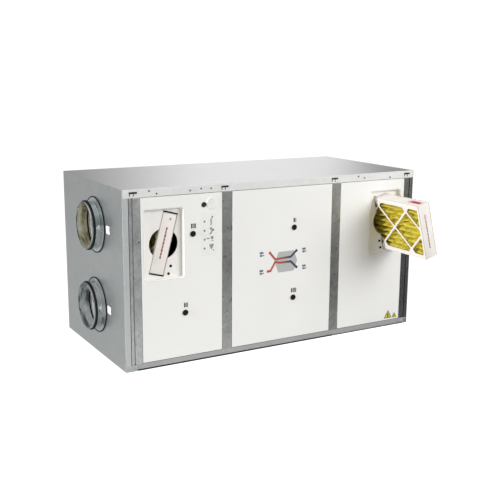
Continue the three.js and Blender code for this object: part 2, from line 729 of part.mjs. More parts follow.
function addFans() {
  for (const [name, side] of [["left", -1], ["right", 1]]) {
    const place = (geometry) => {
      const turned = side > 0 ? geometry : geometry.rotateZ(Math.PI);
      return turned.translate(side * FAN_PLATE_X, FAN_YZ[0], FAN_YZ[1]);
    };
    add(`${name}_fan_plate`, place(fanPlate()), STEEL);
    add(`${name}_fan_impeller`, place(fanImpeller()), BLACK_PLASTIC);
    add(`${name}_fan_motor`, place(fanMotor()), ALUMINIUM);
  }
}

// ---------- bypass damper ----------
function bypassMiddle() {
  return [(BYPASS_Y[0] + BYPASS_Y[1]) / 2, (BYPASS_Z[0] + BYPASS_Z[1]) / 2];
}

function addBypass() {
  const wall = 3;
  const frame = box(BYPASS_X, BYPASS_Y, BYPASS_Z);
  const through = box(
    [BYPASS_X[0] + wall, BYPASS_X[1] - wall],
    [BYPASS_Y[0] + wall, BYPASS_Y[1] - wall],
    [BYPASS_Z[0] - 1, BYPASS_Z[1] + 1],
  );
  const bore = rodAlongX(SHAFT_RADIUS + 0.3, [BYPASS_X[0] - 1, BYPASS_X[1] + 1], bypassMiddle(), 16);
  const [y, z] = bypassMiddle();
  const bladeX = [BYPASS_X[0] + wall + 1, BYPASS_X[1] - wall - 1];
  const leaf = box(bladeX, [BYPASS_Y[0] + wall + 1, BYPASS_Y[1] - wall - 1], [z - 1.5, z + 1.5]);
  const shaft = rodAlongX(SHAFT_RADIUS, [BYPASS_X[0], BYPASS_X[1] + 18], [y, z], 16);
  const actuatorX = [BYPASS_X[1] + 4, BYPASS_X[1] + 44];
  const motorBox = box(actuatorX, [y - 28, y + 28], [z - 35, z + 45]);
  const socket = rodAlongX(SHAFT_RADIUS + 0.3, [actuatorX[0] - 1, BYPASS_X[1] + 19], [y, z], 16);
  add("bypass_frame", cut(frame, through, bore), STEEL);
  add("bypass_blade", join(leaf, shaft), STEEL);
  add("bypass_actuator", cut(motorBox, socket), BLACK_PLASTIC);
}

// ---------- electrics ----------
function addElectrics() {
  const x = [-345, -245];
  const y = [INSIDE_FRONT, INSIDE_FRONT + 45];
  const z = [370, 560];
  const wall = 2;
  const hollow = box([x[0] + wall, x[1] - wall], [y[0] - 1, y[1] - wall], [z[0] + wall, z[1] - wall]);
  add("control_box", cut(box(x, y, z), hollow), GREY_PLASTIC);
  const board = box([x[0] + 6, x[1] - 6], [y[0] + 12, y[0] + 14], [z[0] + 8, z[1] - 8]);
  const terminals = box([x[0] + 12, x[0] + 60], [y[0] + 2, y[0] + 13], [z[0] + 14, z[0] + 30]);
  const standoff = box([x[0] + 40, x[0] + 50], [y[0] + 13, y[1] - wall - GAP], [z[0] + 90, z[0] + 100]);
  add("control_board", join(board, terminals, standoff), { color: 0x2f6b45, roughness: 0.6, metalness: 0 });
  const inner = [5, -16];
  const body = [inner, [GLAND.radius, -16], [GLAND.radius, GAP], [13, GAP], [13, 8], [9, 20], [5, 20], inner];
  const gland = turnedAlongX(body, 1, 16).translate(HALF_WIDTH, GLAND.y, GLAND.z);
  add("power_cable_gland", gland, BLACK_PLASTIC);
}

addCabinet();
addLining();
addRails();
addFilters();
addDoors();
addDoorFittings();
addSpigots();
addExchanger();
addDividers();
addFans();
addBypass();
addElectrics();

export default unit;
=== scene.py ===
import json
import math
import random

import bmesh
import bpy
from mathutils import Matrix, Vector, noise


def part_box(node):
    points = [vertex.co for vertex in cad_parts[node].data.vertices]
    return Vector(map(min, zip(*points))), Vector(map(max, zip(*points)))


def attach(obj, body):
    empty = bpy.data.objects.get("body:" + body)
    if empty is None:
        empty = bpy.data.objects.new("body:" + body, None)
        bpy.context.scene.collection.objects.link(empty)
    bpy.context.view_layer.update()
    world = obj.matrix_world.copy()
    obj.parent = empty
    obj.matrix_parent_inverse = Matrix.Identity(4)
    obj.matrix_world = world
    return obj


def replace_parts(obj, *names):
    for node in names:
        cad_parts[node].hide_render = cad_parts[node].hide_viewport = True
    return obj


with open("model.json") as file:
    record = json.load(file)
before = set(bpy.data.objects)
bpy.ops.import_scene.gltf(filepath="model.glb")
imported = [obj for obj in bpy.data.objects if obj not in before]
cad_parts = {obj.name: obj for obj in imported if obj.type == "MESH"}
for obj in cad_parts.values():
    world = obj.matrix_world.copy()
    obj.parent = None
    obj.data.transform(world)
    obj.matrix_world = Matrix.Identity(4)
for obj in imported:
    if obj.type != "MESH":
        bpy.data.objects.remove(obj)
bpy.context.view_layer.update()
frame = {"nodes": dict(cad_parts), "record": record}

MM = 0.001
RNG = random.Random(7)
NODES = frame["nodes"]
BODY_OF = {node: body for body, nodes in frame["record"]["behaviour"]["bodies"].items() for node in nodes}

# ---------- sizes read from the frame ----------
LEFT, FRONT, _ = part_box("left_side_panel")[0]
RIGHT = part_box("right_side_panel")[1].x
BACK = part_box("back_panel")[1].y
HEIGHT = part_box("top_panel")[1].z

# ---------- sizes and finishes chosen here ----------
ZINC_METALLIC = 0.92
DULL_ZINC_METALLIC = 0.18
EDGE_ROUNDING = 0.6 * MM
FILTER_TILT = math.radians(15)
CARD = 2 * MM
CARD_START = 0.2 * MM  # keeps the marks on the pulled filter's end inside the CAD box
PRINT = 0.12 * MM  # thickness of a film of ink
FINGER_HOLE_RADIUS = 51 * MM
SLOT_SIDE_GAP = 1.1 * MM
SLOT_END_GAP = {"left": 5 * MM, "right": 1.2 * MM}
STATUS_LIGHT_Z = (477, 446, 416, 386)
BLIND_PLUGS = {"left": ((-418, 336), (-426, 311)), "right": ((452, 337), (458, 311))}
TOP_RIVETS = ((-498, 592), (-472, 582), (-353, 584), (-313, 588),
              (-276, 587), (330, 591), (358, 584), (477, 580))
BOTTOM_SCREWS = ((-557, 12), (-231, 15), (213, 15), (541, 12), (565, 9))

# ---------- camera and light ----------
CAMERA_PLACE = (-1.572, -2.756, 0.979)
CAMERA_YAW, CAMERA_PITCH, CAMERA_ROLL = (math.radians(angle) for angle in (30.34, 12.14, 0.44))
CAMERA_LENS = 61.34
SWEEP_LIGHT = 0.95
WALL_LIGHT = 0.31
FLOOR_LIGHT = 0.41
LOBES = (  # direction, cosine where the light starts, cosine where it is full, strength
    ((0, 0, 1), 0.3, 1.0, 0.25),
    ((-0.9, -0.2, 0.35), 0.6, 0.95, 0.18),
    ((-0.5, 0.86, 0.0), 0.75, 0.98, 0.06),
    ((0.95, 0.1, 0.05), 0.78, 0.96, 0.45),
    ((0.5, -0.76, 0.42), 0.94, 0.99, 2.8),
)
LAMPS = (  # name, place, target, width, height, watts
    ("key", (1.8, -2.45, 1.45), (0.3, -0.3, 0.3), 2.2, 1.6, 56),
    ("side_light", (-2.6, -0.40, 0.70), (0.3, -0.4, 0.35), 0.22, 1.3, 66),
    ("fill", (-1.9, -2.5, 1.1), (-0.1, -0.3, 0.35), 0.9, 0.9, 4),
)


# ---------- small mesh tools ----------
def new_object(name, data):
    item = bpy.data.objects.new(name, data)
    bpy.context.scene.collection.objects.link(item)
    return item


def link(name, data, material=None, body=None):
    """A new piece that rides on a CAD body."""
    piece = new_object(name, data)
    if material:
        data.materials.clear()
        data.materials.append(material)
    if body:
        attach(piece, body)
    return piece


def shaded(bm, name, smooth_angle):
    """A mesh from a bmesh, smooth except where faces meet at more than smooth_angle."""
    limit = math.radians(smooth_angle)
    for face in bm.faces:
        face.smooth = True
    for edge in bm.edges:
        edge.smooth = len(edge.link_faces) == 2 and edge.calc_face_angle(0) < limit
    mesh = bpy.data.meshes.new(name)
    bm.to_mesh(mesh)
    bm.free()
    return mesh


def mesh_of(bm, name, smooth_angle=35):
    """A clean mesh of one or more shells: no double vertices, and every face looks out."""
    bmesh.ops.remove_doubles(bm, verts=bm.verts, dist=1e-6)
    bmesh.ops.recalc_face_normals(bm, faces=bm.faces)
    return shaded(bm, name, smooth_angle)


def fillet(points, radius, steps=5):
    """The closed outline with its corners rounded. radius is one number or one for each corner."""
    count = len(points)
    radii = radius if isinstance(radius, (list, tuple)) else [radius] * count
    outline = []
    for i, here in enumerate(points):
        here = Vector(here)
        back = Vector(points[i - 1]) - here
        ahead = Vector(points[(i + 1) % count]) - here
        angle = back.angle(ahead)
        if radii[i] <= 0 or angle > math.radians(179):
            outline.append(here)
            continue
        reach = min(radii[i] / math.tan(angle / 2), 0.49 * back.length, 0.49 * ahead.length)
        start = here + back.normalized() * reach
        end = here + ahead.normalized() * reach
        for k in range(steps + 1):
            t = k / steps
            outline.append(start.lerp(here, t).lerp(here.lerp(end, t), t))
    return outline


def loft(bm, rings):
    """Quads between rings of equal length, and from the last ring back to the first."""
    rows = [[bm.verts.new(point) for point in ring] for ring in rings]
    for low, high in zip(rows, rows[1:] + rows[:1]):
        for i in range(len(low)):
            j = (i + 1) % len(low)
            bm.faces.new((low[i], low[j], high[j], high[i]))


def axes(x, y, z, origin=(0, 0, 0)):
    """The matrix that takes local x, y, z to these directions about an origin."""
    turn = Matrix((x, y, z)).transposed().to_4x4()
    return Matrix.Translation(Vector(origin)) @ turn


FACING_FRONT = axes((1, 0, 0), (0, 0, 1), (0, -1, 0))
FACING_LEFT = axes((0, -1, 0), (0, 0, 1), (-1, 0, 0))
FACING_RIGHT = axes((0, 1, 0), (0, 0, 1), (1, 0, 0))
FACING_UP = Matrix.Identity(4)
FRONT_SHEET = axes((MM, 0, 0), (0, 0, MM), (0, -1, 0), (0, FRONT, 0))  # x and z in mm on the cabinet's front


def on_front(x, z, y=None):
    """Local axes for a fitting on the front at x and z in mm: local z looks out of the cabinet."""
    return Matrix.Translation((x * MM, FRONT if y is None else y, z * MM)) @ FACING_FRONT


def in_mm(points):
    return [(x * MM, y * MM) for x, y in points]


def lathe_mesh(name, profile, segments, matrix=FACING_UP, smooth_angle=35):
    """A turned mesh about local Z from (radius, height) points, closed on itself or ending on the axis."""
    bm = bmesh.new()
    rows = []
    for k in range(segments):
        angle = 2 * math.pi * k / segments
        rows.append([bm.verts.new((r * math.cos(angle), r * math.sin(angle), h)) for r, h in profile])
    on_axis = profile[0][0] < 1e-9 and profile[-1][0] < 1e-9
    last = len(profile) - 1 if on_axis else len(profile)
    for k in range(segments):
        row, after = rows[k], rows[(k + 1) % segments]
        for i in range(last):
            j = (i + 1) % len(profile)
            bm.faces.new((row[i], after[i], after[j], row[j]))
    bmesh.ops.remove_doubles(bm, verts=bm.verts, dist=1e-7)
    bmesh.ops.dissolve_degenerate(bm, edges=bm.edges, dist=1e-8)
    mesh = mesh_of(bm, name, smooth_angle)
    mesh.transform(matrix)
    return mesh


def finished_mesh(item):
    """A mesh of what the object looks like with its modifiers, or of a filled curve."""
    bpy.context.view_layer.update()
    return bpy.data.meshes.new_from_object(item.evaluated_get(bpy.context.evaluated_depsgraph_get()))


def plate_mesh(name, outlines, thickness, bevel=0.0, matrix=FACING_UP, lift=0.0):
    """A flat plate in local x, y from local z = lift to lift + thickness. Inner outlines are holes."""
    curve = bpy.data.curves.new(name, "CURVE")
    curve.dimensions = "2D"
    curve.fill_mode = "BOTH"
    curve.extrude = thickness / 2 - bevel
    curve.bevel_depth = bevel
    curve.bevel_resolution = 2
    curve.offset = -bevel
    for outline in outlines:
        spline = curve.splines.new("POLY")
        spline.points.add(len(outline) - 1)
        for point, (x, y, *_) in zip(spline.points, outline):
            point.co = (x, y, 0, 1)
        spline.use_cyclic_u = True
    holder = new_object(name, curve)
    mesh = finished_mesh(holder)
    bpy.data.objects.remove(holder)
    bpy.data.curves.remove(curve)
    mesh.transform(matrix @ Matrix.Translation((0, 0, lift + thickness / 2)))
    bm = bmesh.new()
    bm.from_mesh(mesh)
    bpy.data.meshes.remove(mesh)
    return mesh_of(bm, name, 50)


def joined(name, meshes, smooth_angle=35):
    """One mesh holding several closed shells."""
    bm = bmesh.new()
    for mesh in meshes:
        bm.from_mesh(mesh)
        bpy.data.meshes.remove(mesh)
    return shaded(bm, name, smooth_angle)


def rectangle(x0, x1, y0, y1, radius, steps=5):
    return fillet([(x0, y0), (x1, y0), (x1, y1), (x0, y1)], radius, steps)


def circle(radius, centre, count):
    angles = [2 * math.pi * k / count for k in range(count)]
    return [Vector((centre[0] + radius * math.cos(a), centre[1] + radius * math.sin(a))) for a in angles]


def block_mesh(name, low, high, bevel):
    """A box with rounded edges."""
    bm = bmesh.new()
    bmesh.ops.create_cube(bm, size=1)
    for vert in bm.verts:
        vert.co = Vector([low[i] + (vert.co[i] + 0.5) * (high[i] - low[i]) for i in range(3)])
    bmesh.ops.bevel(bm, geom=bm.edges[:], offset=bevel, segments=3, profile=0.5, affect="EDGES")
    return mesh_of(bm, name)


def soften(piece):
    """Rounds the sharp edges of a CAD node that stays, without touching its own vertices."""
    weld = piece.modifiers.new("weld", "WELD")
    weld.merge_threshold = 2e-5
    bevel = piece.modifiers.new("bevel", "BEVEL")
    bevel.width = EDGE_ROUNDING
    bevel.segments = 3
    bevel.limit_method = "ANGLE"
    bevel.angle_limit = math.radians(40)
    bevel.use_clamp_overlap = True
    bevel.miter_outer = "MITER_ARC"
    smooth = piece.modifiers.new("normals", "WEIGHTED_NORMAL")
    smooth.keep_sharp = True


# ---------- materials ----------
class NodeSheet:
    """Adds nodes to a tree in one call each."""

    def __init__(self, tree):
        self.tree = tree

    def add(self, kind, inputs=None, **settings):
        node = self.tree.nodes.new(kind)
        for key, value in settings.items():
            setattr(node, key, value)
        for key, value in (inputs or {}).items():
            if isinstance(value, bpy.types.NodeSocket):
                self.tree.links.new(value, node.inputs[key])
            else:
                node.inputs[key].default_value = value
        return node

    def maths(self, operation, first, second):
        return self.add("ShaderNodeMath", {0: first, 1: second}, operation=operation).outputs[0]

    def step(self, value, start, end, low, high):
        """Goes smoothly from low to high as the value goes from start to end."""
        inputs = {"Value": value, "From Min": start, "From Max": end, "To Min": low, "To Max": high}
        return self.add("ShaderNodeMapRange", inputs, interpolation_type="SMOOTHSTEP").outputs["Result"]

    def seen_and_lit(self, seen, lit):
        """One shader for what the eye sees directly, another for light and reflections."""
        eye = self.add("ShaderNodeLightPath").outputs["Is Camera Ray"]
        return self.add("ShaderNodeMixShader", {0: eye, 1: lit.outputs[0], 2: seen.outputs[0]}).outputs[0]


class Paint(NodeSheet):
    """A surface material and a short way to add nodes to it."""

    def __init__(self, name, roughness=0.5, metallic=0.0, **sockets):
        self.material = bpy.data.materials.new(name)
        self.material.use_nodes = True
        super().__init__(self.material.node_tree)
        self.shader = self.tree.nodes["Principled BSDF"]
        for key, value in {"Roughness": roughness, "Metallic": metallic, **sockets}.items():
            self.shader.inputs[key.replace("_", " ")].default_value = value
        self.place = self.add("ShaderNodeTexCoord").outputs["Object"]

    def noise(self, scale, detail=3.0, roughness=0.5, place=None):
        inputs = {"Vector": place or self.place, "Scale": scale, "Detail": detail, "Roughness": roughness}
        return self.add("ShaderNodeTexNoise", inputs).outputs["Fac"]

    def stretched(self, x, y, z):
        """The object coordinates scaled by a different amount along each axis."""
        inputs = {"Vector": self.place, "Scale": (x, y, z)}
        return self.add("ShaderNodeMapping", inputs).outputs["Vector"]

    def cells(self, scale, output="Color"):
        inputs = {"Vector": self.place, "Scale": scale}
        return self.add("ShaderNodeTexVoronoi", inputs).outputs[output]

    def ramp(self, value, stops):
        """A colour ramp: stops are (position, colour)."""
        node = self.add("ShaderNodeValToRGB", {"Fac": value})
        ramp = node.color_ramp
        while len(ramp.elements) < len(stops):
            ramp.elements.new(0.5)
        for element, (position, colour) in zip(ramp.elements, stops):
            element.position = position
            element.color = grey(colour) if isinstance(colour, (int, float)) else (*colour, 1)
        return node.outputs["Color"]

    def blend(self, share, first, second, mode="MIX"):
        inputs = {0: share, 6: first, 7: second}
        return self.add("ShaderNodeMix", inputs, data_type="RGBA", blend_type=mode).outputs[2]

    def colour(self, socket):
        self.tree.links.new(socket, self.shader.inputs["Base Color"])

    def rough(self, value, low, high):
        node = self.add("ShaderNodeMapRange", {"Value": value, "To Min": low, "To Max": high})
        self.tree.links.new(node.outputs["Result"], self.shader.inputs["Roughness"])

    def bump(self, *layers):
        """layers are (height socket, strength, distance in metres)."""
        normal = None
        for height, strength, distance in layers:
            inputs = {"Height": height, "Strength": strength, "Distance": distance}
            if normal:
                inputs["Normal"] = normal
            normal = self.add("ShaderNodeBump", inputs).outputs["Normal"]
        self.tree.links.new(normal, self.shader.inputs["Normal"])


def grey(value):
    return (value, value, value, 1)


def shade(rgb, factor):
    return tuple(min(1.0, channel * factor) for channel in rgb)


def galvanised(name, tone, roughness=0.36, spangle=70.0, front_tone=None, contrast=1.0):
    """Hot-dip zinc: overlapping crystals a centimetre or so across, each a little lighter or darker.

    front_tone colours the strip that is folded round to the front and makes it less metallic: lighter on the
    top panel, and darker on the side panels and the bottom pan, where it is painted shade."""
    paint = Paint(name, roughness, metallic=ZINC_METALLIC)
    crystals = paint.cells(spangle)
    wide = paint.cells(spangle * 0.45)
    value = paint.blend(0.5, crystals, wide)
    dark = shade(tone, 1 - 0.14 * contrast)
    bright = shade(tone, 1 + 0.12 * contrast)
    light = paint.ramp(value, [(0.15, dark), (0.5, tone), (0.9, bright)])
    if front_tone:
        depth = paint.add("ShaderNodeSeparateXYZ", {"Vector": paint.place}).outputs["Y"]
        folded = paint.maths("LESS_THAN", depth, FRONT + 0.8 * MM)
        # The front fold's colour: on the side panels and the bottom pan this is painted shade.
        front_fold_colour = paint.ramp(value, [(0.2, shade(front_tone, 0.95)), (0.8, front_tone)])
        light = paint.blend(folded, light, front_fold_colour)
        inputs = {"Value": folded, "To Min": ZINC_METALLIC, "To Max": DULL_ZINC_METALLIC}
        dull = paint.add("ShaderNodeMapRange", inputs)
        paint.tree.links.new(dull.outputs["Result"], paint.shader.inputs["Metallic"])
    cloud = paint.ramp(paint.noise(6, 4), [(0.3, 1 - 0.10 * contrast), (0.7, 1.0)])
    paint.colour(paint.blend(1.0, light, cloud, "MULTIPLY"))
    paint.rough(value, roughness - 0.06 * contrast, roughness + 0.10 * contrast)
    scratches = paint.noise(1, 2, 0.6, paint.stretched(40, 40, 900))
    paint.bump((paint.cells(spangle, "Distance"), 0.05, 0.0004), (scratches, 0.06, 0.0002))
    return paint.material


def bore_painted_streaks(name, dark, tone, light):
    """The inside of a collar: zinc with soft dark and bright streaks round it, painted shade and painted
    reflections.
    """
    paint = Paint(name, 0.34, metallic=0.55)
    painted_streaks = paint.noise(1, 3, 0.55, paint.stretched(60, 9, 16))
    paint.colour(paint.ramp(painted_streaks, [(0.36, dark), (0.50, tone), (0.66, light)]))
    paint.rough(paint.noise(40, 3), 0.28, 0.42)
    paint.bump((paint.noise(120, 3), 0.08, 0.0003))
    return paint.material


def powder_coat(name, tone, roughness):
    """Baked powder paint: fine orange peel and a trace of grime in broad clouds."""
    paint = Paint(name, roughness, Coat_Weight=0.08, Coat_Roughness=0.3)
    cloud = paint.ramp(paint.noise(5, 5), [(0.35, shade(tone, 0.975)), (0.65, tone)])
    specks = paint.ramp(paint.noise(700, 2), [(0.62, 1.0), (0.74, 0.95)])
    paint.colour(paint.blend(1.0, cloud, specks, "MULTIPLY"))
    paint.rough(paint.noise(30, 3), roughness - 0.05, roughness + 0.07)
    paint.bump((paint.noise(420, 2), 0.10, 0.0003), (paint.noise(60, 2), 0.04, 0.0004))
    return paint.material


def moulded(name, tone, roughness=0.45, grain=900.0, variation=0.05, shine=0.5):
    """Moulded plastic or rubber with a fine etched grain."""
    paint = Paint(name, roughness, Specular_IOR_Level=shine)
    dark = shade(tone, 1 - variation)
    light = shade(tone, 1 + variation)
    paint.colour(paint.ramp(paint.noise(25, 4), [(0.3, dark), (0.7, light)]))
    paint.rough(paint.noise(80, 3), roughness - 0.06, roughness + 0.08)
    paint.bump((paint.noise(grain, 3), 0.15, 0.0002))
    return paint.material


def foam(name, tone):
    paint = Paint(name, 0.95)
    # Voronoi pores: they dent the bump, and their centres are painted darker, painted shade in the pores.
    pore_shade_and_depth = paint.cells(450, "Distance")
    light = paint.ramp(pore_shade_and_depth, [(0.0, shade(tone, 0.35)), (0.45, tone), (1.0, shade(tone, 1.3))])
    cloud = paint.ramp(paint.noise(18, 4), [(0.3, 0.8), (0.7, 1.0)])
    paint.colour(paint.blend(1.0, light, cloud, "MULTIPLY"))
    paint.bump((pore_shade_and_depth, 0.6, 0.0012), (paint.noise(120, 4), 0.4, 0.001))
    return paint.material


def cardboard(name, tone):
    """Coated white board: fine fibres and soft handling marks."""
    paint = Paint(name, 0.78)
    fibres = paint.noise(1, 4, 0.6, paint.stretched(900, 160, 900))
    light = paint.ramp(fibres, [(0.3, shade(tone, 0.95)), (0.7, tone)])
    marks = paint.ramp(paint.noise(22, 5), [(0.3, 0.95), (0.6, 1.0)])
    paint.colour(paint.blend(1.0, light, marks, "MULTIPLY"))
    paint.bump((fibres, 0.2, 0.0003), (paint.noise(90, 3), 0.15, 0.0008))
    return paint.material


def fleece(name, dark, tone, light):
    """Glass-fibre filter fleece: short tangled fibres, thicker and thinner patches."""
    paint = Paint(name, 0.95, Sheen_Weight=0.04, Sheen_Roughness=0.6)
    fibres = paint.noise(1, 6, 0.7, paint.stretched(1400, 260, 1400))
    tangle = paint.noise(300, 5, 0.7)
    blots = paint.noise(1, 4, 0.6, paint.stretched(75, 48, 75))
    patch = paint.ramp(blots, [(0.30, dark), (0.45, tone), (0.62, light)])
    weave = paint.ramp(paint.blend(0.5, fibres, tangle), [(0.3, 0.72), (0.7, 1.0)])
    paint.colour(paint.blend(1.0, patch, weave, "MULTIPLY"))
    paint.bump((fibres, 0.5, 0.0008), (tangle, 0.5, 0.001))
    return paint.material


def printed(name, tone, roughness=0.5):
    """Ink or film on a sticker: solid with a faint mottle."""
    paint = Paint(name, roughness)
    paint.colour(paint.ramp(paint.noise(260, 3), [(0.3, shade(tone, 0.9)), (0.7, tone)]))
    paint.bump((paint.noise(500, 2), 0.05, 0.0001))
    return paint.material


def cast_metal(name, tone, roughness=0.4):
    paint = Paint(name, roughness, metallic=0.9)
    grain = paint.noise(350, 4)
    paint.colour(paint.ramp(grain, [(0.3, shade(tone, 0.85)), (0.7, tone)]))
    paint.rough(paint.noise(40, 4), roughness - 0.08, roughness + 0.12)
    paint.bump((grain, 0.25, 0.0003))
    return paint.material


ZINC = (0.60, 0.625, 0.615)
STEEL = galvanised("galvanised_steel", ZINC, contrast=0.5)
TOP_STEEL = galvanised("top_panel_steel", (0.61, 0.61, 0.62), 0.29, 70, (0.89, 0.89, 0.87), 0.35)
# The left side panel's zinc is a lighter tone than the other panels, painted light, and its front fold is
# darker, painted shade.
LEFT_SIDE_PAINTED_LIGHT_AND_SHADE = galvanised("left_panel_steel", (0.66, 0.69, 0.685), 0.36, 70, (0.56, 0.585, 0.58), 0.35)
# The right side panel's front fold is near black: painted shade.
RIGHT_SIDE_STEEL_FRONT_SHADE = galvanised("right_panel_steel", ZINC, 0.36, 70, (0.11, 0.113, 0.11), 0.45)
# The bottom pan's front strip is darker than its zinc: painted shade.
PAN_STEEL_FRONT_SHADE = galvanised("bottom_pan_steel", ZINC, 0.32, 110, (0.46, 0.47, 0.46))
# Near-black steel for the top strip rivets, the rail screw and the door hooks; on the hooks the darkness is
# painted shade of the slots.
DARK_STEEL_AND_SLOT_SHADE = galvanised("dark_steel", (0.16, 0.165, 0.17), 0.45, 200.0)
# The rails are one zinc in three tones, lightest on the left and darkest on the right: painted light and
# painted shade.
LEFT_RAIL_PAINTED_LIGHT = galvanised("left_rail_steel", (0.83, 0.855, 0.85), 0.34, 110.0)
RAIL_STEEL = galvanised("rail_steel", (0.635, 0.655, 0.63), 0.30, 110.0)
RIGHT_RAIL_PAINTED_SHADE = galvanised("right_rail_steel", (0.35, 0.36, 0.345), 0.30, 110.0)
# Zinc for the collars and small fittings: the spangle is the steel's own, but its light bluish tone and
# strong contrast are painted highlights and painted reflections.
SPIGOT_STEEL_PAINTED_HIGHLIGHTS = galvanised("spigot_steel", (0.86, 0.92, 0.945), 0.22, 38.0, contrast=3.2)
DOOR_PAINT = powder_coat("door_paint", (0.90, 0.895, 0.868), 0.42)
TRAY_PLASTIC = moulded("tray_plastic", (0.90, 0.885, 0.85), 0.5, 700, 0.02)
# The door insulation is near black: painted shade of the inside of the doors, seen through the finger holes.
INSULATION_PAINTED_SHADE = foam("insulation_foam", (0.035, 0.036, 0.038))
# Bore linings: their dark and bright streaks are painted shade and painted reflections.
LINER = bore_painted_streaks("spigot_liner", (0.20, 0.18, 0.11), (0.60, 0.57, 0.40), (0.92, 0.91, 0.82))
BORE_STEEL = bore_painted_streaks("bore_steel", (0.12, 0.15, 0.165), (0.60, 0.65, 0.665), (0.97, 0.99, 1.0))
SPIGOT_LINING = moulded("spigot_lining", (0.90, 0.90, 0.88), 0.6, 300, 0.04)
RUBBER = moulded("black_rubber", (0.008, 0.010, 0.011), 0.6, 500, 0.2, 0.22)
CARDBOARD = cardboard("filter_card", (0.92, 0.88, 0.83))
KRAFT = cardboard("kraft_core", (0.42, 0.24, 0.13))
MEDIA = fleece("filter_media", (0.40, 0.26, 0.025), (0.82, 0.68, 0.05), (1.0, 0.92, 0.16))
GREY_PLASTIC = moulded("grey_plastic", (0.55, 0.56, 0.56), 0.5)
BROWN_FOAM = foam("brown_foam", (0.52, 0.30, 0.22))
BLACK_PLASTIC = moulded("black_plastic", (0.025, 0.025, 0.028), 0.42, 800, 0.2)
ALUMINIUM = cast_metal("cast_aluminium", (0.62, 0.63, 0.64))
FOIL = cast_metal("exchanger_foil", (0.75, 0.77, 0.78), 0.3)
BOARD = printed("circuit_board", (0.03, 0.16, 0.07), 0.4)
LENS = moulded("indicator_lens", (0.05, 0.06, 0.07), 0.15, 400, 0.1)
INK_RED = printed("ink_red", (0.42, 0.015, 0.06))
INK_DULL_RED = printed("ink_dull_red", (0.36, 0.09, 0.08))
INK_PALE_RED = printed("ink_pale_red", (0.80, 0.45, 0.44))
INK_BLACK = printed("ink_black", (0.05, 0.05, 0.06))
INK_GREY = printed("ink_grey", (0.31, 0.32, 0.30))
STICKER = printed("sticker_white", (0.86, 0.87, 0.86), 0.4)
YELLOW = printed("sticker_yellow", (0.60, 0.54, 0.04), 0.4)
GREY_CAP = moulded("cover_cap", (0.83, 0.83, 0.81), 0.4, 700, 0.02)
INK_DARK_GREY = printed("ink_dark_grey", (0.16, 0.17, 0.19))
INK_FAINT = printed("ink_faint", (0.74, 0.76, 0.77))
INK_LIGHT_GREY = printed("ink_light_grey", (0.50, 0.51, 0.50))
FILM = printed("control_film", (0.915, 0.91, 0.885), 0.38)


def flow_ink():
    """The diagram's streams turn from warm red on the left to blue-black on the right."""
    paint = Paint("ink_flow", 0.5)
    across = paint.add("ShaderNodeSeparateXYZ", {"Vector": paint.place}).outputs["X"]
    inputs = {"Value": across, "From Min": -0.045, "From Max": 0.065}
    share = paint.add("ShaderNodeMapRange", inputs).outputs["Result"]
    red, brown, blue = (0.50, 0.10, 0.07), (0.40, 0.10, 0.09), (0.06, 0.05, 0.10)
    paint.colour(paint.ramp(share, [(0.0, red), (0.45, brown), (0.75, blue)]))
    paint.bump((paint.noise(500, 2), 0.05, 0.0001))
    return paint.material


INK_FLOW = flow_ink()

SLOT_MATERIAL = {
    "galvanised_steel": STEEL,
    "spigot_steel": SPIGOT_STEEL_PAINTED_HIGHLIGHTS,
    "door_paint": DOOR_PAINT,
    "tray_plastic": TRAY_PLASTIC,
    "insulation_foam": INSULATION_PAINTED_SHADE,
    "black_rubber": RUBBER,
    "filter_card": CARDBOARD,
    "filter_media": MEDIA,
    "exchanger_foil": FOIL,
    "grey_plastic": GREY_PLASTIC,
    "black_plastic": BLACK_PLASTIC,
    "cast_aluminium": ALUMINIUM,
    "circuit_board": BOARD,
    "indicator_lens": LENS,
}
NODE_MATERIAL = {
    "left_outer_rail": LEFT_RAIL_PAINTED_LIGHT,
    "left_inner_rail": RAIL_STEEL,
    "right_inner_rail": RAIL_STEEL,
    "right_outer_rail": RIGHT_RAIL_PAINTED_SHADE,
    "top_panel": TOP_STEEL,
    "left_side_panel": LEFT_SIDE_PAINTED_LIGHT_AND_SHADE,
    "right_side_panel": RIGHT_SIDE_STEEL_FRONT_SHADE,
    "bottom_pan": PAN_STEEL_FRONT_SHADE,
}


def dress_cad_nodes():
    """Every CAD node gets its own material or that of its slot; folded sheet gets rounded edges."""
    slots = {part["node"]: part["material_slot"] for part in frame["record"]["subparts"]}
    for node, piece in NODES.items():
        material = NODE_MATERIAL.get(node) or SLOT_MATERIAL[slots[node]]
        piece.data.materials.clear()
        piece.data.materials.append(material)
        if slots[node] in ("galvanised_steel", "door_paint"):
            soften(piece)


dress_cad_nodes()


# ---------- filters ----------
def filter_size(side):
    """(thickness, height, length) of the tilted filter, worked back from its upright box."""
    low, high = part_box(f"{side}_filter_frame")
    c, s = math.cos(FILTER_TILT), math.sin(FILTER_TILT)
    wide, tall = high.x - low.x, high.z - low.z
    height = (tall * c - wide * s) / (c * c - s * s)
    thickness = (wide * c - tall * s) / (c * c - s * s)
    return thickness, height, high.y - low.y


def lean(side):
    return FILTER_TILT if side == "left" else -FILTER_TILT


def filter_place(side, start=None):
    """Local x is the filter's thickness, y runs back from start or its front end, z is its height."""
    low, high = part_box(f"{side}_filter_frame")
    middle = Vector(((low.x + high.x) / 2, low.y if start is None else start, (low.z + high.z) / 2))
    return Matrix.Translation(middle) @ Matrix.Rotation(lean(side), 4, "Y")


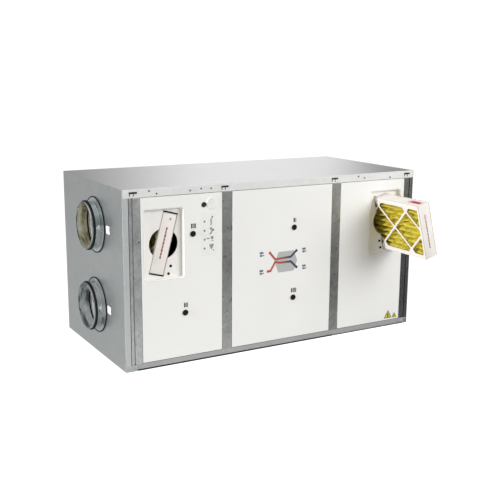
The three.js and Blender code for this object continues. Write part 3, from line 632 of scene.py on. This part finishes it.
def clipped(points, low, high):
    """A convex outline cut off at an upright rectangle."""
    for axis, limit, sign in ((0, low[0], 1), (0, high[0], -1), (1, low[1], 1), (1, high[1], -1)):
        kept = []
        for i, here in enumerate(points):
            before = points[i - 1]
            inside = sign * (here[axis] - limit) >= 0
            was_inside = sign * (before[axis] - limit) >= 0
            if inside != was_inside:
                t = (limit - before[axis]) / (here[axis] - before[axis])
                kept.append(tuple(before[k] + t * (here[k] - before[k]) for k in range(2)))
            if inside:
                kept.append(here)
        points = [point for i, point in enumerate(kept) if math.dist(point, kept[i - 1]) > 0.01 * MM]
    return points


def card_windows(height, length):
    """Rounded die-cut windows that leave a border and a lattice of diagonal strips."""
    half_period = 77 * MM
    half_height = 72 * MM
    gusset = 17 * MM
    first = 72 * MM
    border = height / 2 - 16 * MM
    ends = (8 * MM, length - 8 * MM)
    to_side = half_period * half_height / math.hypot(half_period, half_height)
    scale = 1 - 3.5 * MM / to_side
    dy, dz = scale * half_period, scale * half_height
    top = half_period - gusset
    windows = []
    for i in range(-1, 6):
        y = first + i * half_period
        if i % 2 == 0:
            shapes = [[(y - dy, 0), (y, -dz), (y + dy, 0), (y, dz)]]
        else:
            upper = [(y, half_height - dz), (y + dy, half_height), (y + top, border)]
            upper += [(y - top, border), (y - dy, half_height)]
            shapes = [upper, [(a, -b) for a, b in reversed(upper)]]
        for shape in shapes:
            shape = clipped(shape, (ends[0], -border), (ends[1], border))
            if len(shape) > 2:
                windows.append(fillet(shape, 6 * MM, 6))
    return windows


def build_filter_frame(side, matrix):
    thickness, height, length = filter_size(side)
    half = thickness / 2
    windows = card_windows(height, length)
    outline = rectangle(CARD_START, length, -height / 2, height / 2, 2 * MM)
    white, core = [], []
    ply = 0.7 * MM
    for sign in (-1, 1):
        face = axes((0, sign, 0), (0, 0, 1), (sign, 0, 0))
        outer = [outline] + windows
        if sign < 0:
            outer = [[(-p[0], p[1]) for p in ring] for ring in outer]
        white.append(plate_mesh("ply", outer, ply, 0.15 * MM, matrix @ face, half - ply))
        core.append(plate_mesh("ply", outer, CARD - ply, 0, matrix @ face, half - CARD))
    wall = half - CARD
    tall = height / 2
    for z0, z1 in ((-tall, -tall + CARD), (tall - CARD, tall)):
        white.append(block_mesh("wall", (-wall, CARD_START, z0), (wall, length, z1), 0.4 * MM))
    for y0, y1 in ((CARD_START, CARD), (length - CARD, length)):
        white.append(block_mesh("wall", (-wall, y0, -tall + CARD), (wall, y1, tall - CARD), 0.4 * MM))
    for mesh in white[-4:]:
        mesh.transform(matrix)
    body = f"{side}_filter"
    card = link(f"{side}_filter_card", joined("card", white), CARDBOARD, body)
    link(f"{side}_filter_card_core", joined("core", core), KRAFT, body)
    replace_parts(card, f"{side}_filter_frame")


def build_filter_media(side, matrix):
    """Pleats that run the length of the filter, each crest wandering a little."""
    thickness, height, length = filter_size(side)
    pleats = 10
    per_half = 7
    columns = 150
    depth = thickness / 2 - CARD - 2.2 * MM
    tall = height / 2 - CARD - 1.5 * MM
    rows = 2 * pleats * per_half
    cloth = 1.6 * MM
    bm = bmesh.new()
    grid = []
    for i in range(rows + 1):
        half_pleat = i / per_half
        crest = round(half_pleat)
        wave = math.cos(math.pi * half_pleat)
        fold = math.copysign(abs(wave) ** 0.7, wave)
        row = []
        for j in range(columns + 1):
            y = CARD + 1 * MM + (length - 2 * CARD - 2 * MM) * j / columns
            drift = noise.noise(Vector((y * 24, crest * 0.8, 3.1)))
            ripple = noise.noise(Vector((y * 55, half_pleat * 1.6, 7.7)))
            sag = noise.noise(Vector((y * 11, half_pleat * 0.4, 5.5)))
            edge = min(1.0, 6 * (0.5 - abs(i / rows - 0.5)))
            z = -tall + 2 * tall * i / rows + edge * (4.2 * drift + 0.9 * ripple) * MM
            x = fold * (depth - cloth) * (0.90 + 0.10 * sag) + (0.6 * drift + 0.4 * ripple) * MM
            row.append(bm.verts.new((x, y, z)))
        grid.append(row)
    for low, high in zip(grid, grid[1:]):
        for j in range(columns):
            bm.faces.new((low[j], low[j + 1], high[j + 1], high[j]))
    bmesh.ops.solidify(bm, geom=bm.faces[:], thickness=cloth)
    mesh = mesh_of(bm, "media", 80)
    mesh.transform(matrix)
    media = link(f"{side}_pleated_fleece", mesh, MEDIA, f"{side}_filter")
    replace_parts(media, f"{side}_filter_media")


def build_filter_marks(side, matrix):
    """A broken red line and a block on the front end, a red patch with a paler edge on the top."""
    _, height, _ = filter_size(side)
    body = f"{side}_filter"
    end = matrix @ Matrix.Translation((0, CARD_START, 0)) @ FACING_FRONT
    dashes = []
    z = 0.27 * height if side == "left" else 0.20 * height
    half = (2.8 if side == "left" else 2.1) * MM
    for dash in (11, 7, 14, 9, 12, 8, 13, 10, 9):
        shape = rectangle(-half, half, z - dash * MM, z, 0.8 * MM, 3)
        dashes.append(plate_mesh("dash", [shape], PRINT, 0, end, 0.02 * MM))
        z -= (dash + 1.6) * MM
    link(f"{side}_filter_end_mark", joined("marks", dashes), INK_DULL_RED, body)
    if side == "right":
        block = rectangle(-4 * MM, 3.5 * MM, 0.21 * height, 0.31 * height, 2 * MM, 3)
        ink = INK_PALE_RED
    else:
        block = rectangle(2 * MM, 8 * MM, 0.39 * height, 0.43 * height, 1.5 * MM, 3)
        ink = INK_GREY
    link(f"{side}_filter_end_block", plate_mesh("block", [block], PRINT, 0, end, 0.02 * MM), ink, body)
    top = matrix @ Matrix.Translation((0, 0, height / 2))
    halo = rectangle(-10 * MM, 12 * MM, 8 * MM, 76 * MM, 9 * MM)
    patch = rectangle(-5 * MM, 8 * MM, 17 * MM, 62 * MM, 6 * MM)
    halo_mesh = plate_mesh("halo", [halo], 0.1 * MM, 0, top, 0.01 * MM)
    patch_mesh = plate_mesh("patch", [patch], PRINT, 0, top, 0.12 * MM)
    link(f"{side}_filter_top_halo", halo_mesh, INK_PALE_RED, body)
    link(f"{side}_filter_top_mark", patch_mesh, INK_RED, body)


def build_filters():
    for side in ("left", "right"):
        matrix = filter_place(side)
        build_filter_frame(side, matrix)
        build_filter_media(side, matrix)
        build_filter_marks(side, matrix)


# ---------- filter recesses in the outer doors ----------
def slot_outline(side):
    """The tilted filter slot with the round finger hole across its middle."""
    thickness, height, _ = filter_size(side)
    half = thickness / 2 + SLOT_SIDE_GAP
    tall = height / 2 + SLOT_END_GAP[side]
    meet = math.asin(half / FINGER_HOLE_RADIUS)
    arc_steps = 28
    points, corner = [], []
    for way in (1, -1):
        points += [(way * half, way * tall), (-way * half, way * tall)]
        corner += [1.5 * MM, 1.5 * MM]
        for k in range(arc_steps + 1):
            angle = way * math.pi / 2 + meet + (math.pi - 2 * meet) * k / arc_steps
            points.append((FINGER_HOLE_RADIUS * math.cos(angle), FINGER_HOLE_RADIUS * math.sin(angle)))
            corner.append(0)
    turn = Matrix.Rotation(-lean(side), 2)
    low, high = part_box(f"{side}_filter_frame")
    middle = Vector(((low.x + high.x) / 2, (low.z + high.z) / 2))
    return [turn @ Vector(point[:2]) + middle for point in fillet(points, corner)]


def build_tray(side):
    """The recess: a rounded wall lofted from ring to ring, a floor with the slot, and the blind plugs."""
    low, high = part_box(f"{side}_filter_tray")
    wall = 2 * MM
    depth = high.y - low.y - wall
    corner = 10 * MM
    rim = 2 * MM
    foot = 1.4 * MM
    draft = 0.5 * MM

    def outline(inset):
        sides = (low.x + inset, high.x - inset, low.z + inset, high.z - inset)
        return rectangle(*sides, corner - 0.6 * inset, 10)

    profile = [(0, depth + wall), (0, 0.7 * MM), (0.2 * MM, 0.2 * MM), (0.7 * MM, 0)]
    for k in range(7):
        angle = math.pi / 2 * k / 6
        profile.append((0.8 * MM + rim * math.sin(angle), rim * (1 - math.cos(angle))))
    edge = 0.8 * MM + rim + draft
    for k in range(7):
        angle = math.pi / 2 * k / 6
        profile.append((edge + foot * (1 - math.cos(angle)), depth - foot + foot * math.sin(angle)))
    profile.append((edge + foot, depth + wall))
    bm = bmesh.new()
    loft(bm, [[(point.x, low.y + y, point.y) for point in outline(inset)] for inset, y in profile])
    frame_mesh = mesh_of(bm, "tray_wall")
    floor_outlines = [outline(edge + foot), slot_outline(side)]
    floor_mesh = plate_mesh("tray_floor", floor_outlines, wall, 0.5 * MM, FACING_FRONT, -low.y - depth - wall)
    body = BODY_OF[f"{side}_filter_tray"]
    recess = joined("recess", [frame_mesh, floor_mesh], 50)
    tray = link(f"{side}_recess", recess, TRAY_PLASTIC, body)
    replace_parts(tray, f"{side}_filter_tray")
    for number, (x, z) in enumerate(BLIND_PLUGS[side], 1):
        mesh = lathe_mesh("blind_plug", blind_plug_profile(), 32, on_front(x, z, low.y + depth))
        link(f"{side}_blind_plug_{number}", mesh, RUBBER, body)
    build_slot_pads(side, low.y + depth, body)


def build_slot_pads(side, face, body):
    """Strips on the recess floor above and below the slot. The left ones are black and sit in the slot's end
    gaps, painted shade of the gaps; the right ones are short strips of brown foam glued to the floor.
    """
    thickness, height, _ = filter_size(side)
    half = thickness / 2 + 0.4 * MM
    last = half if side == "left" else 10 * MM - half
    strips = []
    for sign in (-1, 1):
        z = sign * (height / 2 + 2.6 * MM)
        strip = block_mesh("strip", (-half, -1.6 * MM, z - 1.9 * MM), (last, 1 * MM, z + 1.9 * MM), 0.5 * MM)
        strip.transform(filter_place(side, face))
        strips.append(strip)
    # Black on the left: painted shade of the slot's end gaps.
    material = RUBBER if side == "left" else BROWN_FOAM
    link(f"{side}_slot_pads_and_gap_shade", joined("pads", strips), material, body)


def blind_plug_profile():
    head = [(0, 0.6), (2.2, 0.6), (2.8, 1.8), (3.8, 2.0), (4.5, 1.4), (4.7, 0.1)]
    return in_mm(head + [(2.6, 0.0), (2.4, -6), (0, -6.5)])


# ---------- duct spigots ----------
def spigot_profile():
    """Rolled steel collar: flange against the panel, a stop bead, the seal's seat and a curled mouth."""
    flange = [(80, -25), (80, 0.4), (81.5, 1.3), (92.4, 1.3), (93, 1.9), (92.4, 2.6), (83.2, 2.6)]
    bead = [(80.5, 4.2), (80, 6.0), (80, 8.6), (80.6, 9.2), (81.5, 9.9), (81.8, 10.8), (81.5, 11.7)]
    mouth = [(80.6, 12.4), (80, 13), (80, 37.0), (79.8, 38.6), (79.3, 39.6), (78.8, 39.9), (78.6, 39.4)]
    inside = [(78.8, 38.4), (79, 36.6), (79, 13.2), (79.6, 12.3), (80.3, 11.6), (80.6, 10.8), (80.3, 10.0)]
    return in_mm(flange + bead + mouth + inside + [(79.6, 9.4), (79, 8.6), (79, -25)])


def lip_seal_profile():
    """Rubber seal: a flat seat band with two soft lips that lean back towards the panel."""
    points = [(80.4, 27.6), (81.4, 27.2), (83.2, 27.0), (84.6, 27.3), (84.8, 28.0), (83.8, 28.9)]
    points += [(82.6, 29.7), (82.3, 30.5), (83.0, 30.8), (84.2, 30.8), (84.7, 31.4), (83.8, 32.3)]
    points += [(82.8, 33.0), (82.0, 34.0), (81.2, 34.6), (80.4, 34.8)]
    return in_mm(points)


def gasket_profile():
    points = [(80.8, 0.1), (94.0, 0.1), (96.0, 0.6), (96.6, 1.9), (96.0, 3.4), (94.8, 4.0), (93.6, 3.2)]
    return in_mm(points + [(93.3, 1.15), (80.8, 1.15)])


def sleeve_profile(start, end, inset):
    """A thin sleeve inside the collar with a rolled outer edge."""
    r = 78.9 - inset
    return in_mm([(78.9, start), (78.9, end - 0.8), (78.4 - inset / 2, end), (r, end - 0.8), (r, start)])


def build_spigots():
    for side, facing in (("left", FACING_LEFT), ("right", FACING_RIGHT)):
        for level in ("upper", "lower"):
            stem = f"{side}_{level}"
            low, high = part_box(f"{stem}_spigot")
            panel = LEFT if side == "left" else RIGHT
            centre = (panel, (low.y + high.y) / 2, (low.z + high.z) / 2)
            place = Matrix.Translation(centre) @ facing
            liner = LINER if level == "upper" else BORE_STEEL
            parts = (
                ("collar", spigot_profile(), SPIGOT_STEEL_PAINTED_HIGHLIGHTS, "spigot_steel", "spigot"),
                ("rubber_lip", lip_seal_profile(), RUBBER, "black_rubber", "lip_seal"),
                ("flange_gasket", gasket_profile(), RUBBER, "black_rubber", None),
                ("bore_liner", sleeve_profile(1.5, 34, 1.0), liner, "spigot_steel", None),
                ("bore_joint", sleeve_profile(-3.5, 1.2, 3.0), RUBBER, "black_rubber", None),
                ("bore_lining", sleeve_profile(-24.8, -3.8, 1.2), SPIGOT_LINING, "spigot_steel", None),
            )
            for name, profile, material, slot, node in parts:
                mesh = lathe_mesh(name, profile, 128, place)
                piece = link(f"{stem}_{name}", mesh, material, "cabinet")
                if node:
                    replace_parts(piece, f"{stem}_{node}")
            for k in range(4):
                angle = math.radians(45 + 90 * k)
                spot = (88 * MM * math.cos(angle), 88 * MM * math.sin(angle), 2.5 * MM)
                add_rivet(f"{stem}_flange_rivet_{k + 1}", place @ Matrix.Translation(spot), 2.2 * MM)


# ---------- fasteners ----------
def screw_mesh():
    """A pan-head screw with a cross recess."""
    head = [(0, 1.9), (0.9, 1.85), (2.0, 1.6), (2.9, 1.1), (3.35, 0.45), (3.4, 0)]
    shank = [(1.6, 0), (1.5, -6), (0, -7)]
    mesh = lathe_mesh("screw_head", in_mm(head + shank), 32, smooth_angle=40)
    screw = new_object("screw_head", mesh)
    cutters = []
    for width, height in ((3.6, 0.8), (0.8, 3.6)):
        low = (-width * MM / 2, -height * MM / 2, 0.7 * MM)
        high = (width * MM / 2, height * MM / 2, 3 * MM)
        cutter = new_object("cutter", block_mesh("cutter", low, high, 0.12 * MM))
        modifier = screw.modifiers.new("recess", "BOOLEAN")
        modifier.object = cutter
        modifier.solver = "EXACT"
        cutters.append(cutter)
    result = finished_mesh(screw)
    for holder in cutters + [screw]:
        bpy.data.objects.remove(holder)
    bm = bmesh.new()
    bm.from_mesh(result)
    return mesh_of(bm, "screw", 40)


SCREW = screw_mesh()
RIVET_PROFILE = ((0, 1.0), (0.45, 0.92), (0.8, 0.66), (0.97, 0.3),
                 (1.0, 0), (0.5, -0.1), (0.5, -1.2), (0, -1.2))
RIVET = lathe_mesh("rivet", RIVET_PROFILE, 28, smooth_angle=40)


def add_screw(name, matrix, size=1.0, material=SPIGOT_STEEL_PAINTED_HIGHLIGHTS):
    mesh = SCREW.copy()
    turn = Matrix.Rotation(RNG.uniform(0, math.pi), 4, "Z")
    mesh.transform(matrix @ turn @ Matrix.Scale(size, 4))
    link(name, mesh, material, "cabinet")


def add_rivet(name, matrix, radius, material=SPIGOT_STEEL_PAINTED_HIGHLIGHTS):
    mesh = RIVET.copy()
    mesh.transform(matrix @ Matrix.Scale(radius, 4))
    link(name, mesh, material, "cabinet")


def build_fasteners():
    for number, (x, z) in enumerate(TOP_RIVETS, 1):
        add_rivet(f"top_strip_rivet_{number}", on_front(x, z), 2.9 * MM, DARK_STEEL_AND_SLOT_SHADE)
    for number, (x, z) in enumerate(BOTTOM_SCREWS, 1):
        add_screw(f"bottom_strip_screw_{number}", on_front(x, z))
    add_screw("left_rail_screw", on_front(-536, 430), 0.9, DARK_STEEL_AND_SLOT_SHADE)
    for side, x in (("left", LEFT + 9 * MM), ("right", RIGHT - 9 * MM)):
        for number in range(4):
            place = (x, BACK - 0.2 * MM, HEIGHT * (0.12 + 0.25 * number))
            back = axes((-1, 0, 0), (0, 0, 1), (0, 1, 0), place)
            add_rivet(f"back_{side}_rivet_{number + 1}", back, 2.0 * MM)


def build_base_edge():
    """A black strip under the front lip, painted shade of the gap there, and the folded feet at its two ends.
    """
    edges = []
    # Black strips in the gap under the front lip: painted shade.
    for x0, x1, out, top, bevel in ((-0.548, 0.232, 1.2, 4.2, 0.5), (0.233, 0.572, 0.8, 2.6, 0.4)):
        low, high = (x0, FRONT - out * MM, 0.3 * MM), (x1, FRONT + 3 * MM, top * MM)
        edges.append(block_mesh("edge", low, high, bevel * MM))
    link("base_edge_rubber", joined("edges", edges), RUBBER, "cabinet")
    for name, x0, x1 in (("left", -0.588, -0.550), ("right", 0.574, 0.588)):
        shape = rectangle(x0, x1, 0.4 * MM, 19 * MM, 1.5 * MM)
        foot = plate_mesh("foot", [shape], 1.1 * MM, 0.3 * MM, on_front(0, 0))
        link(f"{name}_front_foot", foot, SPIGOT_STEEL_PAINTED_HIGHLIGHTS, "cabinet")


def build_slot_hooks():
    """Small steel hooks that hold the doors, seen in the slots above the rails; their near-black colour is
    painted shade of the slots.
    """
    for number, x in enumerate((-553, -224, 225, 559), 1):
        hooks = []
        for shift in (-9, 4):
            hook = [(x + shift - 3, 579.5), (x + shift - 2, 588), (x + shift, 590.6), (x + shift + 5, 590.6)]
            hooks.append(plate_mesh("hook", [stroke(hook, 2.6)], 1.2 * MM, 0.2 * MM, FRONT_SHEET, -0.6 * MM))
        link(f"door_hook_{number}", joined("hooks", hooks), DARK_STEEL_AND_SLOT_SHADE, "cabinet")


# ---------- door fittings ----------
def test_plug_profile(radius):
    """Rubber plug: domed head with a sunk middle, and a ribbed stem."""
    r = radius / MM
    points = [(0, 2.6), (r * 0.42, 2.7), (r * 0.55, 3.4), (r * 0.72, 4.3), (r * 0.9, 3.9), (r * 0.99, 2.6)]
    points += [(r, 1.0), (r * 0.95, 0.35), (4.6, 0.32), (4.4, -1.5)]
    for k in range(4):
        base = -3 - 5 * k
        points += [(4.5, base + 1), (4.8, base), (4.3, base - 3)]
    return in_mm(points + [(3.6, -23.6), (0, -24)])


def build_plugs():
    plugs = [node for node in NODES if node.endswith("_test_plug")]
    marks = {"centre_upper": 1, "left_lower": 2, "left_upper": 3, "centre_lower": 4}
    for node in sorted(plugs):
        low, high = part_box(node)
        x, z = (low.x + high.x) / 2 / MM, (low.z + high.z) / 2 / MM
        mesh = lathe_mesh(node, test_plug_profile((high.x - low.x) / 2), 64, on_front(x, z))
        piece = link(node.replace("_test", "_rubber"), mesh, RUBBER, BODY_OF[node])
        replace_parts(piece, node)
        stem = node.replace("_test_plug", "")
        door = stem.split("_")[0] + "_door_panel"
        build_port_mark(stem, x + 4, z + 26, marks[stem], door)


def build_port_mark(stem, x, z, count, door):
    """A printed port number: a solid block and one short bar for each count."""
    place = on_front(x, z)
    pitch = 3.7 * MM
    low = -0.5 * MM - pitch * (count - 1) / 2
    solid = rectangle(low - 6.5 * MM, low - 0.6 * MM, -8 * MM, 8 * MM, 2.2 * MM)
    meshes = [plate_mesh("mark", [solid], PRINT, 0, place)]
    for k in range(count):
        x0 = low + 1.6 * MM + k * pitch
        bar = rectangle(x0, x0 + 2.6 * MM, -8 * MM, 8 * MM, 0.9 * MM)
        meshes.append(plate_mesh("mark", [bar], PRINT, 0, place))
    link(f"{stem}_port_mark", joined("port_mark", meshes), INK_BLACK, door)


def build_button():
    low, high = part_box("service_button")
    radius = (high.x - low.x) / 2 / MM
    points = [(0, 1.7), (radius * 0.55, 1.75), (radius * 0.78, 2.2), (radius * 0.93, 2.1)]
    points += [(radius * 0.99, 1.3), (radius, 0.2), (radius, -9), (0, -11.5)]
    place = on_front((low.x + high.x) / 2 / MM, (low.z + high.z) / 2 / MM)
    mesh = lathe_mesh("button", in_mm(points), 64, place)
    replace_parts(link("button_cap", mesh, BLACK_PLASTIC, "button"), "service_button")


def build_cover_cap():
    """The shallow round cover beside the button."""
    points = [(0, 1.3), (7, 1.35), (13.4, 1.55), (16.8, 2.0), (18.7, 2.1), (19.8, 1.4), (20, 0.1)]
    mesh = lathe_mesh("cap", in_mm(points + [(15, 0.02), (0, 0.02)]), 96, on_front(-273.8, 536), 60)
    link("round_cover_cap", mesh, GREY_CAP, "left_door_panel")


def build_lights():
    low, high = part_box("status_light_guide")
    x = (low.x + high.x) / 2 / MM
    bars = [block_mesh("bar", (low.x, low.y + 2 * MM, low.z), high, 1 * MM)]
    lens = in_mm([(0, 0.9), (1.4, 0.75), (2.1, 0.35), (2.3, 0), (2.3, -2.5), (0, -2.5)])
    for z in STATUS_LIGHT_Z:
        bars.append(lathe_mesh("lens", lens, 32, on_front(x, z, FRONT + 0.3 * MM), 60))
    piece = link("status_lights", joined("lights", bars), LENS, "left_door_panel")
    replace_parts(piece, "status_light_guide")


# ---------- printed marks and stickers ----------
def stroke(points, width):
    """The closed outline of a thick line through the points, with round ends."""
    half = width / 2
    points = [Vector(point) for point in points]
    left, right = [], []
    for i, here in enumerate(points):
        before = points[max(i - 1, 0)]
        after = points[min(i + 1, len(points) - 1)]
        along = (after - here).normalized() if i == 0 else (here - before).normalized()
        onward = (after - here).normalized() if i < len(points) - 1 else along
        normal = Vector((-(along + onward).y, (along + onward).x)).normalized()
        reach = half / max(0.4, normal.dot(Vector((-along.y, along.x))))
        left.append(here + normal * reach)
        right.append(here - normal * reach)
    caps = []
    turns = [math.pi * k / 6 for k in range(1, 6)]
    for end, before in ((points[-1], points[-2]), (points[0], points[1])):
        out = (end - before).normalized()
        side = Vector((-out.y, out.x))
        caps.append([end + half * (math.sin(turn) * out + math.cos(turn) * side) for turn in turns])
    return left + caps[0] + right[::-1] + caps[1]


def front_print(name, shapes, material, body, lift=0.0):
    """Ink on a door: outlines in mm across and up the front."""
    meshes = [plate_mesh("print", [shape], PRINT, 0, FRONT_SHEET, 0.01 * MM + lift) for shape in shapes]
    link(name, joined("print", meshes), material, body)


def build_flow_diagram():
    body = "centre_door_panel"
    core = [(-24, 307), (-10, 344), (55, 344), (69, 307), (55, 270), (-10, 270)]
    front_print("flow_diagram_core", [fillet(core, 5)], INK_LIGHT_GREY, body)
    upper = [(-45, 344), (-23, 319), (-6, 320), (42, 322), (65, 342)]
    lower = [(-52, 279), (-42, 279), (-23, 310), (-6, 305), (42, 305), (66, 282)]
    front_print("flow_diagram_streams", [stroke(upper, 7.6), stroke(lower, 7.6)], INK_FLOW, body, 0.15 * MM)
    ends = [circle(5.2, spot, 24) for spot in (upper[0], lower[0], upper[-1], lower[-1])]
    front_print("flow_diagram_ends", ends, INK_FLOW, body, 0.3 * MM)
    tags = []
    for x, z in ((-79, 342), (-79, 278), (98, 340), (99, 278)):
        tags += [rectangle(x - 8, x + 7, z + 1.5, z + 9, 2), rectangle(x - 7, x + 4, z - 8, z - 1, 2)]
        tags += [circle(2.4, (x + 8, z - 4), 16)]
    front_print("flow_diagram_tags", tags, INK_DARK_GREY, body)


def build_pictograms():
    """Plain symbols beside the four status lights, on a faint film."""
    body = "left_door_panel"
    film = rectangle(-315, -256, 360, 505, 4)
    front_print("control_film", [film], FILM, body)
    x = -276
    shapes = [
        circle(3.6, (x + 4, 491), 24),
        stroke([(x + 1, 485), (x - 2, 479), (x + 1, 473), (x - 1, 465)], 4.5),
        circle(4.6, (x - 1, 452), 24),
        circle(4.2, (x + 7, 447), 24),
        stroke([(x + 3, 446), (x + 1, 439), (x - 4, 434)], 5),
        stroke([(x - 16, 419), (x - 8, 419)], 4),
        circle(5.4, (x + 3, 421), 24),
        stroke([(x + 1, 412), (x + 7, 411)], 3),
        fillet([(x - 8, 398), (x + 10, 400), (x + 6, 388), (x, 380), (x - 5, 389)], 2),
        circle(2.6, (x + 8, 378), 20),
    ]
    front_print("control_symbols", shapes, INK_GREY, body, 0.15 * MM)
    dots = [circle(3.6, (-301, z), 24) for z in STATUS_LIGHT_Z]
    front_print("status_rings", dots, INK_GREY, body, 0.15 * MM)


def build_warning_triangles():
    for name, x, z, size in (("large", 495, 41, 22), ("small", 526, 36, 14.5)):
        corners = [(x + size * math.cos(a), z + size * math.sin(a)) for a in (math.pi / 2, -2.618, -0.5236)]
        inner = [(x + 0.8 * (a - x), z + 0.8 * (b - z)) for a, b in corners]
        front_print(f"{name}_triangle_edge", [fillet(corners, 3)], INK_BLACK, "right_door_panel")
        front_print(f"{name}_triangle", [fillet(inner, 2)], YELLOW, "right_door_panel", 0.15 * MM)
        bolt = stroke([(x, z + 0.3 * size), (x, z - 0.2 * size)], 0.2 * size)
        front_print(f"{name}_triangle_bar", [bolt], INK_BLACK, "right_door_panel", 0.30 * MM)


def build_duct_stickers():
    """Blank white stickers beside the two spigots, with a plain arrow."""
    place = axes((0, -MM, 0), (0, 0, MM), (-1, 0, 0), (LEFT, FRONT, 0))
    for name, y, z in (("upper", 130, 452), ("lower", 137, 178)):
        label = rectangle(-y - 15, -y + 15, z - 13, z + 13, 2)
        mesh = plate_mesh("sticker", [label], 0.15 * MM, 0, place, 0.01 * MM)
        link(f"{name}_duct_sticker", mesh, STICKER, "cabinet")
        arrow = [(-y - 8, z - 2), (-y + 1, z - 2), (-y + 1, z - 6), (-y + 9, z)]
        arrow += [(-y + 1, z + 6), (-y + 1, z + 2), (-y - 8, z + 2)]
        mesh = plate_mesh("arrow", [arrow], 0.1 * MM, 0, place, 0.17 * MM)
        link(f"{name}_duct_arrow", mesh, INK_FAINT, "cabinet")


build_filters()
for door_side in ("left", "right"):
    build_tray(door_side)
build_spigots()
build_fasteners()
build_base_edge()
build_slot_hooks()
build_plugs()
build_button()
build_cover_cap()
build_lights()
build_flow_diagram()
build_pictograms()
build_warning_triangles()
build_duct_stickers()


# ---------- stage ----------
def place_camera():
    """The camera stands to the front left, a little above the top of the unit."""
    level = math.cos(CAMERA_PITCH)
    ahead = Vector((math.sin(CAMERA_YAW) * level, math.cos(CAMERA_YAW) * level, -math.sin(CAMERA_PITCH)))
    level_right = Vector((math.cos(CAMERA_YAW), -math.sin(CAMERA_YAW), 0))
    level_up = level_right.cross(ahead)
    right = math.cos(CAMERA_ROLL) * level_right + math.sin(CAMERA_ROLL) * level_up
    up = -math.sin(CAMERA_ROLL) * level_right + math.cos(CAMERA_ROLL) * level_up
    data = bpy.data.cameras.new("camera")
    data.sensor_width = 36
    data.lens = CAMERA_LENS
    data.clip_end = 60
    camera = new_object("camera", data)
    camera.matrix_world = axes(right, up, -ahead, CAMERA_PLACE)
    bpy.context.scene.camera = camera


def softbox(name, place, target, width, height, watts):
    """A soft lamp that lights the unit but isn't mirrored in its steel."""
    data = bpy.data.lights.new(name, "AREA")
    data.shape = "RECTANGLE"
    data.size = width
    data.size_y = height
    data.energy = watts
    lamp = new_object(name, data)
    direction = Vector(target) - Vector(place)
    lamp.matrix_world = Matrix.Translation(place) @ direction.to_track_quat("-Z", "Y").to_matrix().to_4x4()
    lamp.visible_glossy = False


def build_world():
    """A white studio to the eye. As light, a bright sweep behind the unit and dimmer walls around it."""
    world = bpy.data.worlds.new("studio")
    bpy.context.scene.world = world
    world.use_nodes = True
    world.node_tree.nodes.clear()
    sheet = NodeSheet(world.node_tree)
    direction = sheet.add("ShaderNodeTexCoord").outputs["Generated"]
    split = sheet.add("ShaderNodeSeparateXYZ", {"Vector": direction})
    across, back, up = (split.outputs[axis] for axis in "XYZ")
    turn = sheet.maths("ARCTAN2", across, back)
    sweep = sheet.step(turn, math.radians(17), math.radians(28), 0.0, 1.0)
    fall = sheet.step(turn, math.radians(35.5), math.radians(39.5), 1.0, 0.0)
    height = sheet.step(up, 0.35, 0.6, SWEEP_LIGHT, 0.0)
    sweep = sheet.maths("MULTIPLY", sheet.maths("MULTIPLY", sweep, fall), height)

    def lobe(towards, start, end, strength):
        """Light from round a direction: none below the cosine start, full above end."""
        inputs = {0: direction, 1: Vector(towards).normalized()}
        dot = sheet.add("ShaderNodeVectorMath", inputs, operation="DOT_PRODUCT").outputs["Value"]
        return sheet.step(dot, start, end, 0.0, strength)

    light = sheet.maths("ADD", sweep, WALL_LIGHT)
    for settings in LOBES:
        light = sheet.maths("ADD", light, lobe(*settings))
    lit = sheet.add("ShaderNodeBackground", {"Color": (1, 1, 1, 1), "Strength": light})
    seen = sheet.add("ShaderNodeBackground", {"Color": (1, 1, 1, 1), "Strength": 1.05})
    output = sheet.add("ShaderNodeOutputWorld")
    world.node_tree.links.new(sheet.seen_and_lit(seen, lit), output.inputs["Surface"])


def build_floor():
    """A white table top that throws back less light towards the front right, where the studio is dark."""
    material = bpy.data.materials.new("floor_white")
    material.use_nodes = True
    material.node_tree.nodes.clear()
    sheet = NodeSheet(material.node_tree)
    split = sheet.add("ShaderNodeSeparateXYZ", {"Vector": sheet.add("ShaderNodeTexCoord").outputs["Object"]})
    across = sheet.step(split.outputs["X"], -0.5, 1.0, FLOOR_LIGHT, 0.08 * FLOOR_LIGHT)
    near = sheet.step(split.outputs["Y"], -1.5, -0.5, 0.42, 1.3)
    behind = sheet.step(split.outputs["Y"], -0.35, -0.15, 1.0, 0.8)
    glow = sheet.maths("MULTIPLY", sheet.maths("MULTIPLY", across, near), behind)
    lit = sheet.add("ShaderNodeEmission", {"Color": (1, 1, 1, 1), "Strength": glow})
    white = sheet.add("ShaderNodeBsdfDiffuse", {"Color": (0.5, 0.5, 0.5, 1)})
    shine = sheet.add("ShaderNodeEmission", {"Color": (1, 1, 1, 1), "Strength": 0.78})
    seen = sheet.add("ShaderNodeAddShader", {0: white.outputs[0], 1: shine.outputs[0]})
    output = sheet.add("ShaderNodeOutputMaterial")
    material.node_tree.links.new(sheet.seen_and_lit(seen, lit), output.inputs["Surface"])
    mesh = plate_mesh("floor", [circle(2.6, (0.1, -0.2), 96)], 10 * MM, lift=-10.2 * MM)
    link("floor", mesh, material)


place_camera()
build_world()
build_floor()
for lamp in LAMPS:
    softbox(*lamp)
bpy.context.scene.view_settings.view_transform = "Standard"
